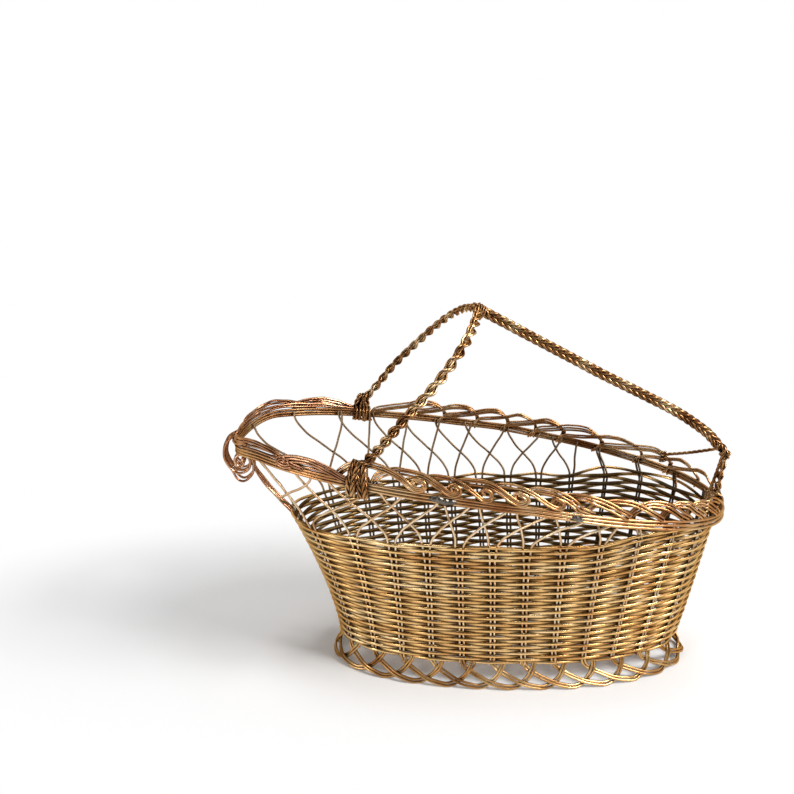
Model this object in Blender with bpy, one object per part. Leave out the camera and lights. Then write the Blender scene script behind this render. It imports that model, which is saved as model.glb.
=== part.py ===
# Wire basket for pouring a bottle of wine, with a tall rope handle
# Pouring lip at -X, rear at +X, table at Z = 0, lengths in metres

import bisect
import math

import bmesh
import bpy
from mathutils import Vector

for item in list(bpy.data.objects):
    bpy.data.objects.remove(item, do_unlink=True)


# Wire sizes and the gap that touching pieces keep
stake_wire = 0.0012
rim_wire = 0.0014
weaver_wire = 0.0014
clearance = 0.0003

# Stakes stand in pairs and go on below as the foot and above as the lattice
stake_count = 27
stake_phase_share = 0.40
pair_pitch = 0.0016

# Foot outline, where the loops stand on the table
foot_front = 0.0925
foot_rear = 0.0905
foot_half_width = 0.0388
foot_widest = 0.0080

# Lower edge of the weave
base_front = 0.0893
base_rear = 0.0855
base_half_width = 0.0345
base_widest = 0.0080
base_height = 0.0120

# Upper edge of the weave
top_front = 0.1130
top_rear = 0.0985
top_half_width = 0.0455
top_widest = 0.0020
top_height = 0.0805

# Rim bundle above the weave, which climbs toward the pouring lip and dips at the lip's middle
rim_front = 0.1390
rim_rear = 0.1020
rim_half_width = 0.0575
rim_widest = -0.0100
rim_rear_rise = 0.0035
rim_middle_rise = 0.0235
rim_front_rise = 0.0425
rim_rear_height = top_height + rim_rear_rise
rim_middle_height = top_height + rim_middle_rise
rim_front_height = top_height + rim_front_rise
lip_dip = 0.0060
lip_start = 0.1200

# Roundness of the outlines, 2 is an ellipse and more is squarer
foot_power = 2.15
top_power = 2.20
rim_front_power = 2.35
rim_rear_power = 2.30

# The wall leaves the base steeply in front and flares more toward its top, less so at the rear
flare_power = 1.40
rear_flare_power = 0.90

# Toward the front the stakes fan out: the shift at the top, and how far round it reaches
fan_share = 0.27
fan_reach_share = 0.36

# Rows of the weave pass outside and inside the stakes by turns
weave_row_count = 35
wall_skin = stake_wire + 2 * weaver_wire
row_lap = stake_wire * 0.5 + weaver_wire

# Floor: cross ribs, with rows along the basket that pass over and under them
floor_thickness = 0.0020
floor_lift = 0.0006
floor_relief = 0.0004
floor_rib_count = 14
floor_row_count = 31
floor_tip_share = 0.97


# Lattice wires lean this many stake spaces on their way to the rim, which as a whole is turned a little
rearward_lean_count = 1.75
forward_lean_count = 0.15
rim_turn_count = 0.35
post_station = 0.0500
lattice_fade = 0.0450
pair_bend_share = 0.30
pair_spread_share = 0.70
layer_share = 0.33

bundle_wire_count = 3
bundle_pitch = rim_wire + clearance

# Arcs of the rim chain, drawn as one looping run on each side, which leans in as it rises
chain_wire_width = 0.0024
chain_height = 0.0068
chain_swing_share = 0.32
chain_side_share = 0.62
chain_inset = 0.0004
chain_lean = 0.0024

spout_wire_count = 2

scroll_wire_count = 3
scroll_pitch = 0.0021
scroll_reach = -0.0015
scroll_drop = 0.0105
scroll_end_radius = 0.0026
scroll_turns = 1.30

# Handle
leg_rope = 0.0042
leg_station = 0.0785
crown_station = 0.0214
crown_height = 0.1830
top_rope_width = 0.0058
top_rope_height = 0.0050
rope_end_station = 0.1000
rope_end_rise = 0.0295
knot_size = 0.0076
knot_length = 0.0066
drop_rope = 0.0034
wrap_length = 0.0075
wrap_size = 0.0066
lashing_length = 0.0100
lashing_skin = 0.0015
lashing_corner_share = 0.60
leg_tuck_share = 0.20
stay_wire = 0.0015
stay_station = 0.0850

# Share of the way from leg foot to crown: reach along the basket, climb, sideways spread
leg_shares = ((0.0, 0.0, 1.0), (0.14, 0.18, 1.04), (0.28, 0.335, 1.05), (0.425, 0.475, 1.02),
              (0.565, 0.605, 0.96), (0.67, 0.705, 0.88), (0.78, 0.81, 0.74), (0.86, 0.885, 0.57),
              (0.93, 0.95, 0.34), (1.0, 1.0, 0.0))
# Share of the way from crown to rope end: reach and fall
rope_shares = ((0.0, 0.0), (0.12, 0.112), (0.25, 0.233), (0.37, 0.344), (0.49, 0.456), (0.60, 0.552),
               (0.70, 0.64), (0.783, 0.714), (0.85, 0.782), (0.913, 0.857), (0.957, 0.917), (1.0, 1.0))
# Share of the length and share of the full size, for the crown wrap and for the rear knot
wrap_shares = ((-0.5, 0.75), (-0.3, 1.0), (0.3, 1.0), (0.5, 0.8))
knot_shares = ((0.0, 0.7), (0.2, 0.95), (0.5, 1.0), (0.8, 0.95), (1.0, 0.7))
# Height shares of the drop rope's places
drop_shares = (0.7, 0.45, 0.2, 0.0)


# An outline seen from above: reach to the front and rear, half width, station of the widest point
class Outline:
    def __init__(self, front, rear, half_width, widest, front_power, rear_power):
        self.front = front
        self.rear = rear
        self.half_width = half_width
        self.widest = widest
        self.front_power = front_power
        self.rear_power = rear_power
        steps = 720
        self.spots = [self.spot(2 * math.pi * k / steps) for k in range(steps + 1)]
        self.lengths = [0.0]
        for k in range(steps):
            self.lengths.append(self.lengths[-1] + (self.spots[k + 1] - self.spots[k]).length)

    def spot(self, angle):
        across = math.cos(angle)
        along = math.sin(angle)
        power = self.rear_power if across >= 0 else self.front_power
        reach = self.rear - self.widest if across >= 0 else self.front + self.widest
        x = self.widest + reach * math.copysign(abs(across) ** (2 / power), across)
        y = self.half_width * math.copysign(abs(along) ** (2 / power), along)
        return Vector((x, y, 0.0))

    # Point at a share of the way round, from the rear by the far side to the front
    def at(self, share):
        goal = (share % 1.0) * self.lengths[-1]
        k = min(bisect.bisect_right(self.lengths, goal) - 1, len(self.spots) - 2)
        part = (goal - self.lengths[k]) / (self.lengths[k + 1] - self.lengths[k])
        return self.spots[k].lerp(self.spots[k + 1], part)

    # Shares of the way round that bunch where the outline turns sharply
    def turning_shares(self, count):
        steps = len(self.spots) - 1
        return [self.lengths[steps * k // count] / self.lengths[-1] for k in range(count)]


foot_line = Outline(foot_front, foot_rear, foot_half_width, foot_widest, foot_power, foot_power)
base_line = Outline(base_front, base_rear, base_half_width, base_widest, foot_power, foot_power)
top_line = Outline(top_front, top_rear, top_half_width, top_widest, top_power, top_power)
# The stake ends stand inside the rim bundle
lattice_gap = stake_wire + 2 * clearance
bundle_inset = (lattice_gap + stake_wire + rim_wire) * 0.5 + 2 * clearance
rim_line = Outline(rim_front - bundle_inset, rim_rear - bundle_inset, rim_half_width - bundle_inset,
                   rim_widest, rim_front_power, rim_rear_power)


def ramp(value, start, end):
    return min(1.0, max(0.0, (value - start) / (end - start)))


def rim_height(x):
    slope = (rim_rear_height - rim_front_height) * 0.5
    bow = (rim_rear_height + rim_front_height) * 0.5 - rim_middle_height
    part = x / rim_rear if x >= 0 else x / rim_front
    dip = lip_dip * ramp(-x, lip_start, rim_front - bundle_inset) ** 2
    return rim_middle_height + slope * part + bow * part * part - dip


def fanned(share):
    way = share % 1.0 - 0.5
    part = min(1.0, abs(way) / fan_reach_share)
    return share + math.copysign(fan_share * part * (1 - part) ** 3, way)


# Surface of the basket: level 0 is the table, 1 and 2 the edges of the weave, 3 the rim
def skin(share, level):
    if level <= 1:
        low = foot_line.at(share)
        high = base_line.at(share)
        place = low.lerp(high, level)
        place.z = level * base_height
        return place
    if level <= 2:
        part = level - 1
        forward = (1 - math.cos(2 * math.pi * share)) * 0.5
        power = rear_flare_power + (flare_power - rear_flare_power) * forward
        place = base_line.at(share).lerp(top_line.at(fanned(share)), part ** power)
        place.z = base_height + part * (top_height - base_height)
        return place
    part = level - 2
    low = top_line.at(fanned(share))
    high = rim_line.at(fanned(share))
    low.z = top_height
    high.z = rim_height(high.x)
    return low.lerp(high, part)


round_share = 0.004
climb_share = 0.02


def outward(share, level):
    round_way = skin(share + round_share, level) - skin(share - round_share, level)
    climb_way = skin(share, level + climb_share) - skin(share, max(level - climb_share, 0.0))
    return round_way.cross(climb_way).normalized()


def on_skin(share, level, out=0.0):
    return skin(share, level) + outward(share, level) * out


# Share that a length along the outline takes
def share_of(length, share, level):
    gap = skin(share + round_share, level) - skin(share - round_share, level)
    return length * 2 * round_share / gap.length


# Share of the way round at which the rim has this station, on the far or near side
def rim_share(station, near):
    steps = 1440
    options = range(steps // 2, steps) if near else range(steps // 2)
    return min(options, key=lambda k: abs(skin(k / steps, 3.0).x - station)) / steps


def metal(name, colour, roughness):
    material = bpy.data.materials.new(name)
    material.use_nodes = True
    shader = material.node_tree.nodes["Principled BSDF"]
    shader.inputs["Base Color"].default_value = (*colour, 1.0)
    shader.inputs["Metallic"].default_value = 1.0
    shader.inputs["Roughness"].default_value = roughness
    return material


gold = (0.72, 0.50, 0.24)
rose = (0.70, 0.42, 0.24)


def finish(name, mesh_data, colour, roughness, smooth_angle=50):
    mesh = bpy.data.meshes.new(name)
    bmesh.ops.recalc_face_normals(mesh_data, faces=mesh_data.faces)
    mesh_data.to_mesh(mesh)
    mesh_data.free()
    mesh.shade_smooth()
    mesh.set_sharp_from_angle(angle=math.radians(smooth_angle))
    body = bpy.data.objects.new(name, mesh)
    bpy.context.scene.collection.objects.link(body)
    mesh.materials.append(metal(name + "_metal", colour, roughness))
    return body


# Sweep an oval section along points, wide across the outward normals
def wire(name, points, normals, width, depth, sides, colour, closed=False, swell=None, lowest=None):
    mesh_data = bmesh.new()
    count = len(points)
    rings = []
    for k, point in enumerate(points):
        if closed:
            way = points[(k + 1) % count] - points[k - 1]
        else:
            way = points[min(k + 1, count - 1)] - points[max(k - 1, 0)]
        way.normalize()
        out = normals[k] - way * normals[k].dot(way)
        out.normalize()
        across = way.cross(out)
        size = swell[k] if swell else 1.0
        ring = []
        for side in range(sides):
            turn = 2 * math.pi * (side + 0.5) / sides
            spot = point + (across * width * math.cos(turn) + out * depth * math.sin(turn)) * size * 0.5
            if lowest is not None:
                spot.z = max(spot.z, lowest)
            ring.append(mesh_data.verts.new(spot))
        rings.append(ring)
    pairs = [(rings[k], rings[k + 1]) for k in range(count - 1)]
    if closed:
        pairs.append((rings[-1], rings[0]))
    for first, second in pairs:
        for side in range(sides):
            after = (side + 1) % sides
            mesh_data.faces.new((first[side], first[after], second[after], second[side]))
    if not closed:
        mesh_data.faces.new(rings[0])
        mesh_data.faces.new(list(reversed(rings[-1])))
    return finish(name, mesh_data, colour, 0.3)


def smooth_line(places, steps):
    line = []
    for k in range(len(places) - 1):
        before = places[max(k - 1, 0)]
        start = places[k]
        end = places[k + 1]
        after = places[min(k + 2, len(places) - 1)]
        for step in range(steps):
            u = step / steps
            line.append(0.5 * (2 * start + (end - before) * u
                               + (2 * before - 5 * start + 4 * end - after) * u * u
                               + (3 * start - before - 3 * end + after) * u * u * u))
    line.append(places[-1].copy())
    return line


# Woven wall: one shell with an open top and bottom, its rows drawn as one climbing spiral
# The columns are the stakes and the places midway between them
wall_round_count = 2 * stake_count


def flat_outward(share, level):
    out = outward(share, level)
    out.z = 0.0
    return out.normalized()


def wall_column(mesh_data, column, side):
    share = (stake_phase_share + column * 0.5) / stake_count
    mid = weaver_wire * 0.5
    levels = [(1.0, mid)]
    for row in range(weave_row_count):
        level = 1 + (row + share) / weave_row_count
        passes_outside = (row + column // 2) % 2 == 0
        if column % 2:
            reach = mid
        elif passes_outside == (side > 0):
            reach = row_lap
        else:
            reach = stake_wire * 0.5
        levels.append((level, reach))
    levels.append((2.0, mid))
    return [mesh_data.verts.new(skin(share, level) + flat_outward(share, level) * side * reach)
            for level, reach in levels]


def wall():
    mesh_data = bmesh.new()
    shells = []
    for side in (1, -1):
        columns = [wall_column(mesh_data, column, side) for column in range(wall_round_count)]
        shells.append(columns)
        for first, second in zip(columns[:-1], columns[1:]):
            for k in range(len(first) - 1):
                mesh_data.faces.new((first[k], second[k], second[k + 1], first[k + 1]))
        # A row that has gone round meets the next row
        first = columns[-1]
        second = columns[0]
        mesh_data.faces.new((first[0], second[0], second[1]))
        for k in range(len(first) - 2):
            mesh_data.faces.new((first[k], second[k + 1], second[k + 2], first[k + 1]))
        mesh_data.faces.new((first[-2], second[-1], first[-1]))
    for end in (0, -1):
        for column in range(wall_round_count):
            outer = (shells[0][column][end], shells[0][(column + 1) % wall_round_count][end])
            inner = (shells[1][column][end], shells[1][(column + 1) % wall_round_count][end])
            mesh_data.faces.new((outer[0], outer[1], inner[1], inner[0]))
    finish("woven_wall", mesh_data, gold, 0.35)


wall()


# Floor inside the foot of the wall: rows and ribs give it a shallow relief
# The middle cell is flat
def floor():
    mesh_data = bmesh.new()
    inset = wall_skin * 0.5 + clearance
    low = base_height + floor_lift
    high = low + floor_thickness
    edge = [skin(share, 1.0) - flat_outward(share, 1.0) * inset for share in base_line.turning_shares(720)]
    reach = max(spot.x for spot in edge) - base_widest
    half = [spot for spot in edge if spot.y >= 0.0]
    sheets = []
    for height, turn in ((high, 1), (low, -1)):
        columns = []
        for rib in range(floor_rib_count):
            place = 2 * rib / (floor_rib_count - 1) - 1
            x = base_widest + reach * floor_tip_share * math.sin(place * math.pi * 0.5)
            side = min(half, key=lambda spot: abs(spot.x - x)).y
            column = []
            for row in range(floor_row_count + 1):
                y = side * (2 * row / floor_row_count - 1)
                in_middle = rib in (floor_rib_count // 2 - 1, floor_rib_count // 2) \
                    and row in (floor_row_count // 2, floor_row_count // 2 + 1)
                lift = 0.0 if in_middle else floor_relief * (1 if (rib + row) % 2 else -1)
                column.append(mesh_data.verts.new((x, y, height + lift)))
            columns.append(column)
        sheets.append(columns)
        for first, second in zip(columns[:-1], columns[1:]):
            for k in range(floor_row_count):
                mesh_data.faces.new((first[k], second[k], second[k + 1], first[k + 1]))
    rim = [(rib, 0) for rib in range(floor_rib_count)]
    rim += [(floor_rib_count - 1, row) for row in range(1, floor_row_count + 1)]
    rim += [(rib, floor_row_count) for rib in range(floor_rib_count - 2, -1, -1)]
    rim += [(0, row) for row in range(floor_row_count - 1, 0, -1)]
    for k, (rib, row) in enumerate(rim):
        after = rim[(k + 1) % len(rim)]
        mesh_data.faces.new((sheets[0][rib][row], sheets[0][after[0]][after[1]],
                             sheets[1][after[0]][after[1]], sheets[1][rib][row]))
    finish("floor", mesh_data, gold, 0.4)


floor()


# Foot border: loops two stake spaces wide, which go round the basket twice
# A loop falls outside its neighbour and rises inside the next one
loop_low_share = 0.65
loop_flat_share = 0.05
loop_cross_share = 0.12
foot_step_count = 10
foot_side_count = 6
foot_wire_width = pair_pitch + stake_wire
foot_gap = stake_wire + 3 * clearance
foot_flat = 0.0005
loop_ends_share = 0.028


def foot_run(name, first_loop, loops):
    crest = base_height - foot_wire_width * 0.5 - clearance
    low = foot_wire_width * 0.5 * math.cos(math.pi / foot_side_count) - foot_flat
    places = []
    normals = []
    stops = loops * foot_step_count
    for k in range(stops + 1):
        way = k / foot_step_count
        way = min(max(way, loop_ends_share), loops - loop_ends_share)
        u = way - math.floor(way)
        fall = ramp(u, 0.0, loop_low_share - loop_flat_share)
        rise = ramp(u, loop_low_share + loop_flat_share, 1.0)
        part = fall if rise == 0.0 else 1.0 - rise
        height = crest + (low - crest) * (1 - math.cos(math.pi * part)) * 0.5
        side = -1.0 + 2.0 * ramp(u, 0.0, loop_cross_share)
        side -= 2.0 * ramp(u, loop_low_share - loop_cross_share, loop_low_share + loop_cross_share)
        share = (stake_phase_share + 2 * (first_loop + way)) / stake_count
        level = height / base_height
        places.append(on_skin(share, level, side * foot_gap * 0.5))
        normals.append(outward(share, level))
    wire(name, places, normals, foot_wire_width, stake_wire, foot_side_count, rose, lowest=0.0)


first_loops = stake_count // 2
foot_run("foot_border_first", 0, first_loops)
foot_run("foot_border_second", first_loops, stake_count - first_loops)


# Lattice: the two wires of a stake part and lean to the rim, where they end behind the bundle
# A wire that leans round by the near side to the rear passes outside the ones that lean forward
lattice_step_count = 5
post_step_count = 2
bundle_height = rim_wire * bundle_wire_count + clearance * (bundle_wire_count - 1)


def stake_top(number):
    share = (stake_phase_share + number) / stake_count
    station = skin(share, 2.0).x
    upright = ramp(station, post_station - lattice_fade, post_station)
    rearward_turn = 1 if number >= stake_count // 2 else -1
    rise = skin(share, 3.0) - skin(share, 2.0)
    climb = rise.length
    # a wire keeps its own bend, slow at both ends, also where the rim reaches further forward than the weave
    round_way = skin(share + round_share, 3.0) - skin(share - round_share, 3.0)
    drift_share = share_of(rise.dot(round_way.normalized()), share, 2.5)
    foot_level = 2.0 + (stake_wire * 0.5 + clearance) / climb
    head_level = 3.0 + stake_wire * 0.5 / climb
    half_share = share_of(pair_pitch * 0.5, share, 2.0)
    bend_level = foot_level + pair_pitch * 0.5 / climb
    steps = [(0.0, foot_level, 0.0),
             (0.0, foot_level + (bend_level - foot_level) * pair_bend_share, pair_spread_share)]
    points = post_step_count if upright == 1.0 else lattice_step_count
    for k in range(points + 1):
        steps.append((k / points, bend_level + (head_level - bend_level) * k / points, 1.0))
    places = []
    normals = []
    for turn in (-1, 1):
        lean_count = rearward_lean_count if turn == rearward_turn else forward_lean_count
        lean_share = (lean_count + turn * rim_turn_count) * (1 - upright) / stake_count
        branch = steps[:0:-1] if turn < 0 else steps
        for part, level, spread in branch:
            bend = part * part * (3 - 2 * part)
            here = share + drift_share * (bend - part) + turn * (lean_share * bend + half_share * spread)
            out = turn * lattice_gap * 0.5 * min(1.0, part / layer_share)
            places.append(on_skin(here, level, out))
            normals.append(outward(here, level))
    wire("stake_top_" + str(number).zfill(2), places, normals, stake_wire, stake_wire, 6, gold)


for number in range(stake_count):
    stake_top(number)


# Place beside the rim: out is measured from the bundle's middle line, up from its middle height
def beside_rim(share, out=0.0, up=0.0):
    normal = outward(share, 3.0)
    normal.z = 0.0
    normal.normalize()
    place = skin(share, 3.0) + normal * (bundle_inset + out)
    place.z += up
    return place, normal


# Rim bundle: plain rings, one above the other
rim_step_count = 54
for number in range(bundle_wire_count):
    up = (number - (bundle_wire_count - 1) * 0.5) * bundle_pitch
    spots = [beside_rim(share, 0.0, up) for share in rim_line.turning_shares(rim_step_count)]
    wire("rim_ring_" + str(number), [spot[0] for spot in spots], [spot[1] for spot in spots],
         rim_wire, rim_wire, 6, rose, closed=True)

# Shares of the way round at the two handle legs
far_leg_share = rim_share(-leg_station, False)
near_leg_share = rim_share(-leg_station, True)
lashing_share = share_of(lashing_length * 0.5 + clearance, far_leg_share, 3.0)
rear_lashing_share = share_of(lashing_length * 0.5 + clearance, 0.0, 3.0)


# Rim chain: each arc rises outside the one before and falls inside the next
chain_step_count = 8


def rim_chain(name, start, end):
    arcs = round((end - start) * stake_count)
    space = (end - start) / (arcs + 2 * chain_swing_share)
    low = bundle_height * 0.5 + clearance + chain_wire_width * 0.5
    swing_up = (chain_height - chain_wire_width) * 0.5
    places = []
    normals = []
    for k in range(chain_step_count * arcs + 1):
        turn = 2 * math.pi * k / chain_step_count
        way = k / chain_step_count - chain_swing_share * math.sin(turn) + chain_swing_share
        share = start + space * way
        rise = (1 - math.cos(turn)) * 0.5
        side = math.sin(turn) * (stake_wire + clearance) * chain_side_share - chain_inset - chain_lean * rise
        place, normal = beside_rim(share, side, low + swing_up * 2 * rise)
        places.append(place)
        normals.append(normal)
    wire(name, places, normals, chain_wire_width, stake_wire, 6, rose)


rim_chain("rim_chain_far", rear_lashing_share, far_leg_share - lashing_share)
rim_chain("rim_chain_near", near_leg_share + lashing_share, 1 - rear_lashing_share)

# Spout wires: laid on the bundle forward of the handle legs
spout_step_count = 30
spout_start = far_leg_share + lashing_share
spout_end = near_leg_share - lashing_share
for number in range(spout_wire_count):
    up = bundle_height * 0.5 + (number + 0.5) * bundle_pitch + clearance * 0.5
    spots = [beside_rim(spout_start + (spout_end - spout_start) * k / spout_step_count, 0.0, up)
             for k in range(spout_step_count + 1)]
    wire("spout_wire_" + str(number), [spot[0] for spot in spots], [spot[1] for spot in spots],
         rim_wire, rim_wire, 6, rose)

# Scroll under the lip: wires that start on the bundle's outer side and curl down and in
scroll_step_count = 20
lip_height = rim_height(-rim_front)
scroll_seat = Vector((-(rim_front + (rim_wire + stake_wire) * 0.5 + clearance), 0.0, lip_height))
scroll_centre = Vector((-(rim_front + scroll_reach), 0.0, lip_height - scroll_drop))
for number in range(scroll_wire_count):
    aside = (number - (scroll_wire_count - 1) * 0.5) * scroll_pitch
    arm = scroll_seat - scroll_centre
    start_turn = math.atan2(arm.z, arm.x)
    places = []
    for k in range(scroll_step_count + 1):
        part = k / scroll_step_count
        turn = start_turn + 2 * math.pi * scroll_turns * part
        radius = scroll_end_radius + (arm.length - scroll_end_radius) * (1 - part) ** 1.5
        places.append(scroll_centre + Vector((math.cos(turn), 0.0, math.sin(turn))) * radius
                      + Vector((0.0, aside, 0.0)))
    wire("spout_scroll_" + str(number), places, [Vector((0.0, 1.0, 0.0))] * len(places),
         stake_wire, stake_wire, 6, rose)


# Lashing: a saddle of wrapped wire over the rim, which the handle stands on
# Its inner cheek stops above the stake ends that lean in below it
def lashing(name, share):
    middle, out = beside_rim(share)
    outer = rim_wire * 0.5 + clearance + lashing_skin * 0.5
    inner = -(bundle_inset + (lattice_gap + stake_wire) * 0.5 + clearance + lashing_skin * 0.5)
    low = -bundle_height * 0.5
    high = bundle_height * 0.5 + clearance + lashing_skin * 0.5
    corner = lashing_skin * lashing_corner_share
    outline = [(outer, low), (outer, high - corner), (outer - corner, high),
               (inner + corner, high), (inner, high - corner), (inner, rim_wire)]
    facing = [(1, 0), (1, 0.4), (0.4, 1), (-0.4, 1), (-1, 0.4), (-1, 0)]
    up = Vector((0.0, 0.0, 1.0))
    places = [middle + out * aside + up * rise for aside, rise in outline]
    normals = [(out * aside + up * rise).normalized() for aside, rise in facing]
    wire(name, places, normals, lashing_length, lashing_skin, 8, gold)
    return middle + out * (outer + inner) * 0.5 + up * (high + lashing_skin * 0.5)


far_seat = lashing("lashing_far", far_leg_share)
near_seat = lashing("lashing_near", near_leg_share)
rear_seat = lashing("lashing_rear", 0.0)

# Crown wrap where the legs and the top rope meet
crown = Vector((-crown_station, 0.0, crown_height))
rope_end = Vector((rope_end_station, 0.0, rim_rear_height + rope_end_rise))
side_way = Vector((0.0, 1.0, 0.0))


def rope_place(reach_share, fall_share):
    return Vector((crown.x + (rope_end.x - crown.x) * reach_share, 0.0,
                   crown.z + (rope_end.z - crown.z) * fall_share))


rope_way = (rope_place(*rope_shares[1]) - crown).normalized()
wrap_spots = [crown + rope_way * wrap_length * part for part, size in wrap_shares]
wire("crown_wrap", wrap_spots, [side_way] * len(wrap_spots), wrap_size, wrap_size, 10, gold,
     swell=[size for part, size in wrap_shares])


# Handle legs of twisted wire, from the lashings to the sides of the crown wrap
def leg(name, seat):
    turn = math.copysign(1.0, seat.y)
    foot = seat + Vector((0.0, 0.0, clearance))
    head = crown + side_way * turn * (wrap_size * 0.5 + clearance + leg_rope * leg_tuck_share)
    places = [Vector((foot.x + (head.x - foot.x) * reach, head.y + (foot.y - head.y) * spread,
                      foot.z + (head.z - foot.z) * climb)) for reach, climb, spread in leg_shares]
    line = [foot] + smooth_line([foot + Vector((0.0, 0.0, leg_rope * 0.5))] + places[1:], 2)
    wire(name, line, [side_way * turn] * len(line), leg_rope, leg_rope, 8, gold)


leg("handle_leg_far", far_seat)
leg("handle_leg_near", near_seat)

# Top rope from the crown wrap to the rear knot
rope_start = crown + rope_way * (wrap_length * 0.5 + clearance)
rope_line = smooth_line([rope_place(*pair) for pair in rope_shares], 2)
rope_line = [rope_start] + [spot for spot in rope_line if spot.x > rope_start.x + top_rope_height]
rope_up = [Vector((-(rope_line[min(k + 1, len(rope_line) - 1)] - rope_line[max(k - 1, 0)]).z, 0.0,
                   (rope_line[min(k + 1, len(rope_line) - 1)] - rope_line[max(k - 1, 0)]).x)).normalized()
           for k in range(len(rope_line))]
wire("handle_top_rope", rope_line, rope_up, top_rope_width, top_rope_height, 10, gold)

# Rear knot and the drop rope down to the rear of the rim
knot_way = (rope_line[-1] - rope_line[-2]).normalized()
knot_start = rope_line[-1] + knot_way * clearance
knot_spots = [knot_start + knot_way * knot_length * part for part, size in knot_shares]
wire("rear_knot", knot_spots, [side_way] * len(knot_spots), knot_size, knot_size, 10, gold,
     swell=[size for part, size in knot_shares])
knot_end = knot_spots[-1] + knot_way * clearance
drop_end = rear_seat + Vector((0.0, 0.0, clearance))
drop_fall = Vector((0.0, 0.0, drop_end.z - knot_end.z))
drop_places = [knot_end + knot_way * drop_rope * 0.5]
drop_places += [drop_end - drop_fall * part for part in drop_shares]
drop_line = [knot_end] + smooth_line(drop_places, 2)
wire("drop_rope", drop_line, [side_way] * len(drop_line), drop_rope, drop_rope, 8, gold)


# Stays: thin twisted wire from the sides of the knot to the top of the rim chain
def stay(name, near):
    turn = -1.0 if near else 1.0
    share = rim_share(stay_station, near)
    chain_top = bundle_height * 0.5 + clearance + chain_height
    foot, out = beside_rim(share, -(chain_inset + chain_lean), chain_top + clearance + stay_wire * 0.5)
    head = knot_spots[len(knot_spots) // 2] + side_way * turn * (knot_size * 0.5 + clearance + stay_wire * 0.5)
    line = [head.lerp(foot, part / 6) for part in range(7)]
    wire(name, line, [Vector((0.0, 0.0, 1.0))] * 7, stay_wire, stay_wire, 8, gold)


stay("stay_far", False)
stay("stay_near", True)

# The origin stands on the table under the middle of the whole basket
stations = [vertex.co.x for body in bpy.data.objects for vertex in body.data.vertices]
middle_station = (min(stations) + max(stations)) * 0.5
for body in bpy.data.objects:
    body.location.x = -middle_station
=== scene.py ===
import math

import bpy
import numpy as np
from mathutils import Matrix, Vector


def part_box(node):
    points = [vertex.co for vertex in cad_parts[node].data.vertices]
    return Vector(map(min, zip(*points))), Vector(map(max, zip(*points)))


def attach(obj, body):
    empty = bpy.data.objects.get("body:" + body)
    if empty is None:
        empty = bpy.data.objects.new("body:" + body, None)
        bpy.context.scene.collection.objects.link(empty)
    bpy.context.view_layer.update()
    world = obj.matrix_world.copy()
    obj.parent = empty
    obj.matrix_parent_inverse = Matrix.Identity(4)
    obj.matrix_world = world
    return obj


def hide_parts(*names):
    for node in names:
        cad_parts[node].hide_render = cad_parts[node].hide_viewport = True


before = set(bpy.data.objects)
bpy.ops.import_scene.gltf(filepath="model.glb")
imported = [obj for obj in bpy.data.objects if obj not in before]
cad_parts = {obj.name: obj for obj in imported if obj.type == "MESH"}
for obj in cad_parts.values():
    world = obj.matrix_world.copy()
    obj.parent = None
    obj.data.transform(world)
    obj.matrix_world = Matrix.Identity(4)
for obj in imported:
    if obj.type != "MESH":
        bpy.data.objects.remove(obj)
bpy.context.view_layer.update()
print("packed model loaded,", len(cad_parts), "nodes")

dice = np.random.default_rng(27)

# Lengths are in millimetres until a mesh is made
metre = 1000
basket = {
    "stakes": 27,
    "firstStake": 0.40,                              # place of stake 0, in stake spaces from the rear
    "foot": (92.5, 90.5, 38.8, 8.0, 2.15, 2.15),     # front, rear, half width, widest x, two powers
    "base": (89.3, 85.5, 34.5, 8.0, 2.15, 2.15),
    "top": (113.0, 98.5, 45.5, 2.0, 2.20, 2.20),
    "rim": (139.0, 102.0, 57.5, -10.0, 2.35, 2.30),
    "baseHeight": 12.0,
    "topHeight": 80.5,
    "rimRear": 84.0,
    "rimMiddle": 104.0,
    "rimFront": 123.0,
    "lipDip": 6.0,                                   # the rim bends down by this much at the lip
    "lipStart": 120.0,
    "flare": 1.40,                                   # power by which the wall widens, front and rear
    "rearFlare": 0.90,
    "fan": 0.27,                                     # toward the front the stakes spread as they rise
    "fanReach": 0.36,
    "inset": 2.8,                                    # stake ends stand this far inside the rim bundle
    "legs": -78.5,                                   # x of the handle's legs on the rim
}
outlineSteps = 2880
rimSteps = 4000
nudge = {"share": 0.004, "level": 0.02}              # small steps that give directions on the surface

wallLow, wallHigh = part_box("woven_wall")
# The basket is drawn round its own zero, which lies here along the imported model
basketZero = (wallLow.x + wallHigh.x) / 2 * metre - (basket["top"][1] - basket["top"][0]) / 2
stakeCount = basket["stakes"]
weaveTop = basket["topHeight"] - basket["baseHeight"]


def outlineTable(front, rear, halfWidth, widest, frontPower, rearPower):
    angle = np.linspace(0, 2 * math.pi, outlineSteps + 1)
    across = np.cos(angle)
    along = np.sin(angle)
    power = np.where(across >= 0, rearPower, frontPower)
    reach = np.where(across >= 0, rear - widest, front + widest)
    x = widest + reach * np.sign(across) * np.abs(across) ** (2 / power)
    y = halfWidth * np.sign(along) * np.abs(along) ** (2 / power)
    run = np.concatenate([[0], np.cumsum(np.hypot(np.diff(x), np.diff(y)))])
    return run / run[-1], x, y


footTable = outlineTable(*basket["foot"])
baseTable = outlineTable(*basket["base"])
topTable = outlineTable(*basket["top"])
rimTable = outlineTable(*[size - basket["inset"] for size in basket["rim"][:3]], *basket["rim"][3:])


def onTable(table, share):
    share = np.mod(share, 1)
    return np.stack([np.interp(share, table[0], table[1]), np.interp(share, table[0], table[2])], -1)


def fanned(share):
    way = np.mod(share, 1) - 0.5
    part = np.minimum(1, np.abs(way) / basket["fanReach"])
    return share + np.sign(way) * basket["fan"] * part * (1 - part) ** 3


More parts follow.
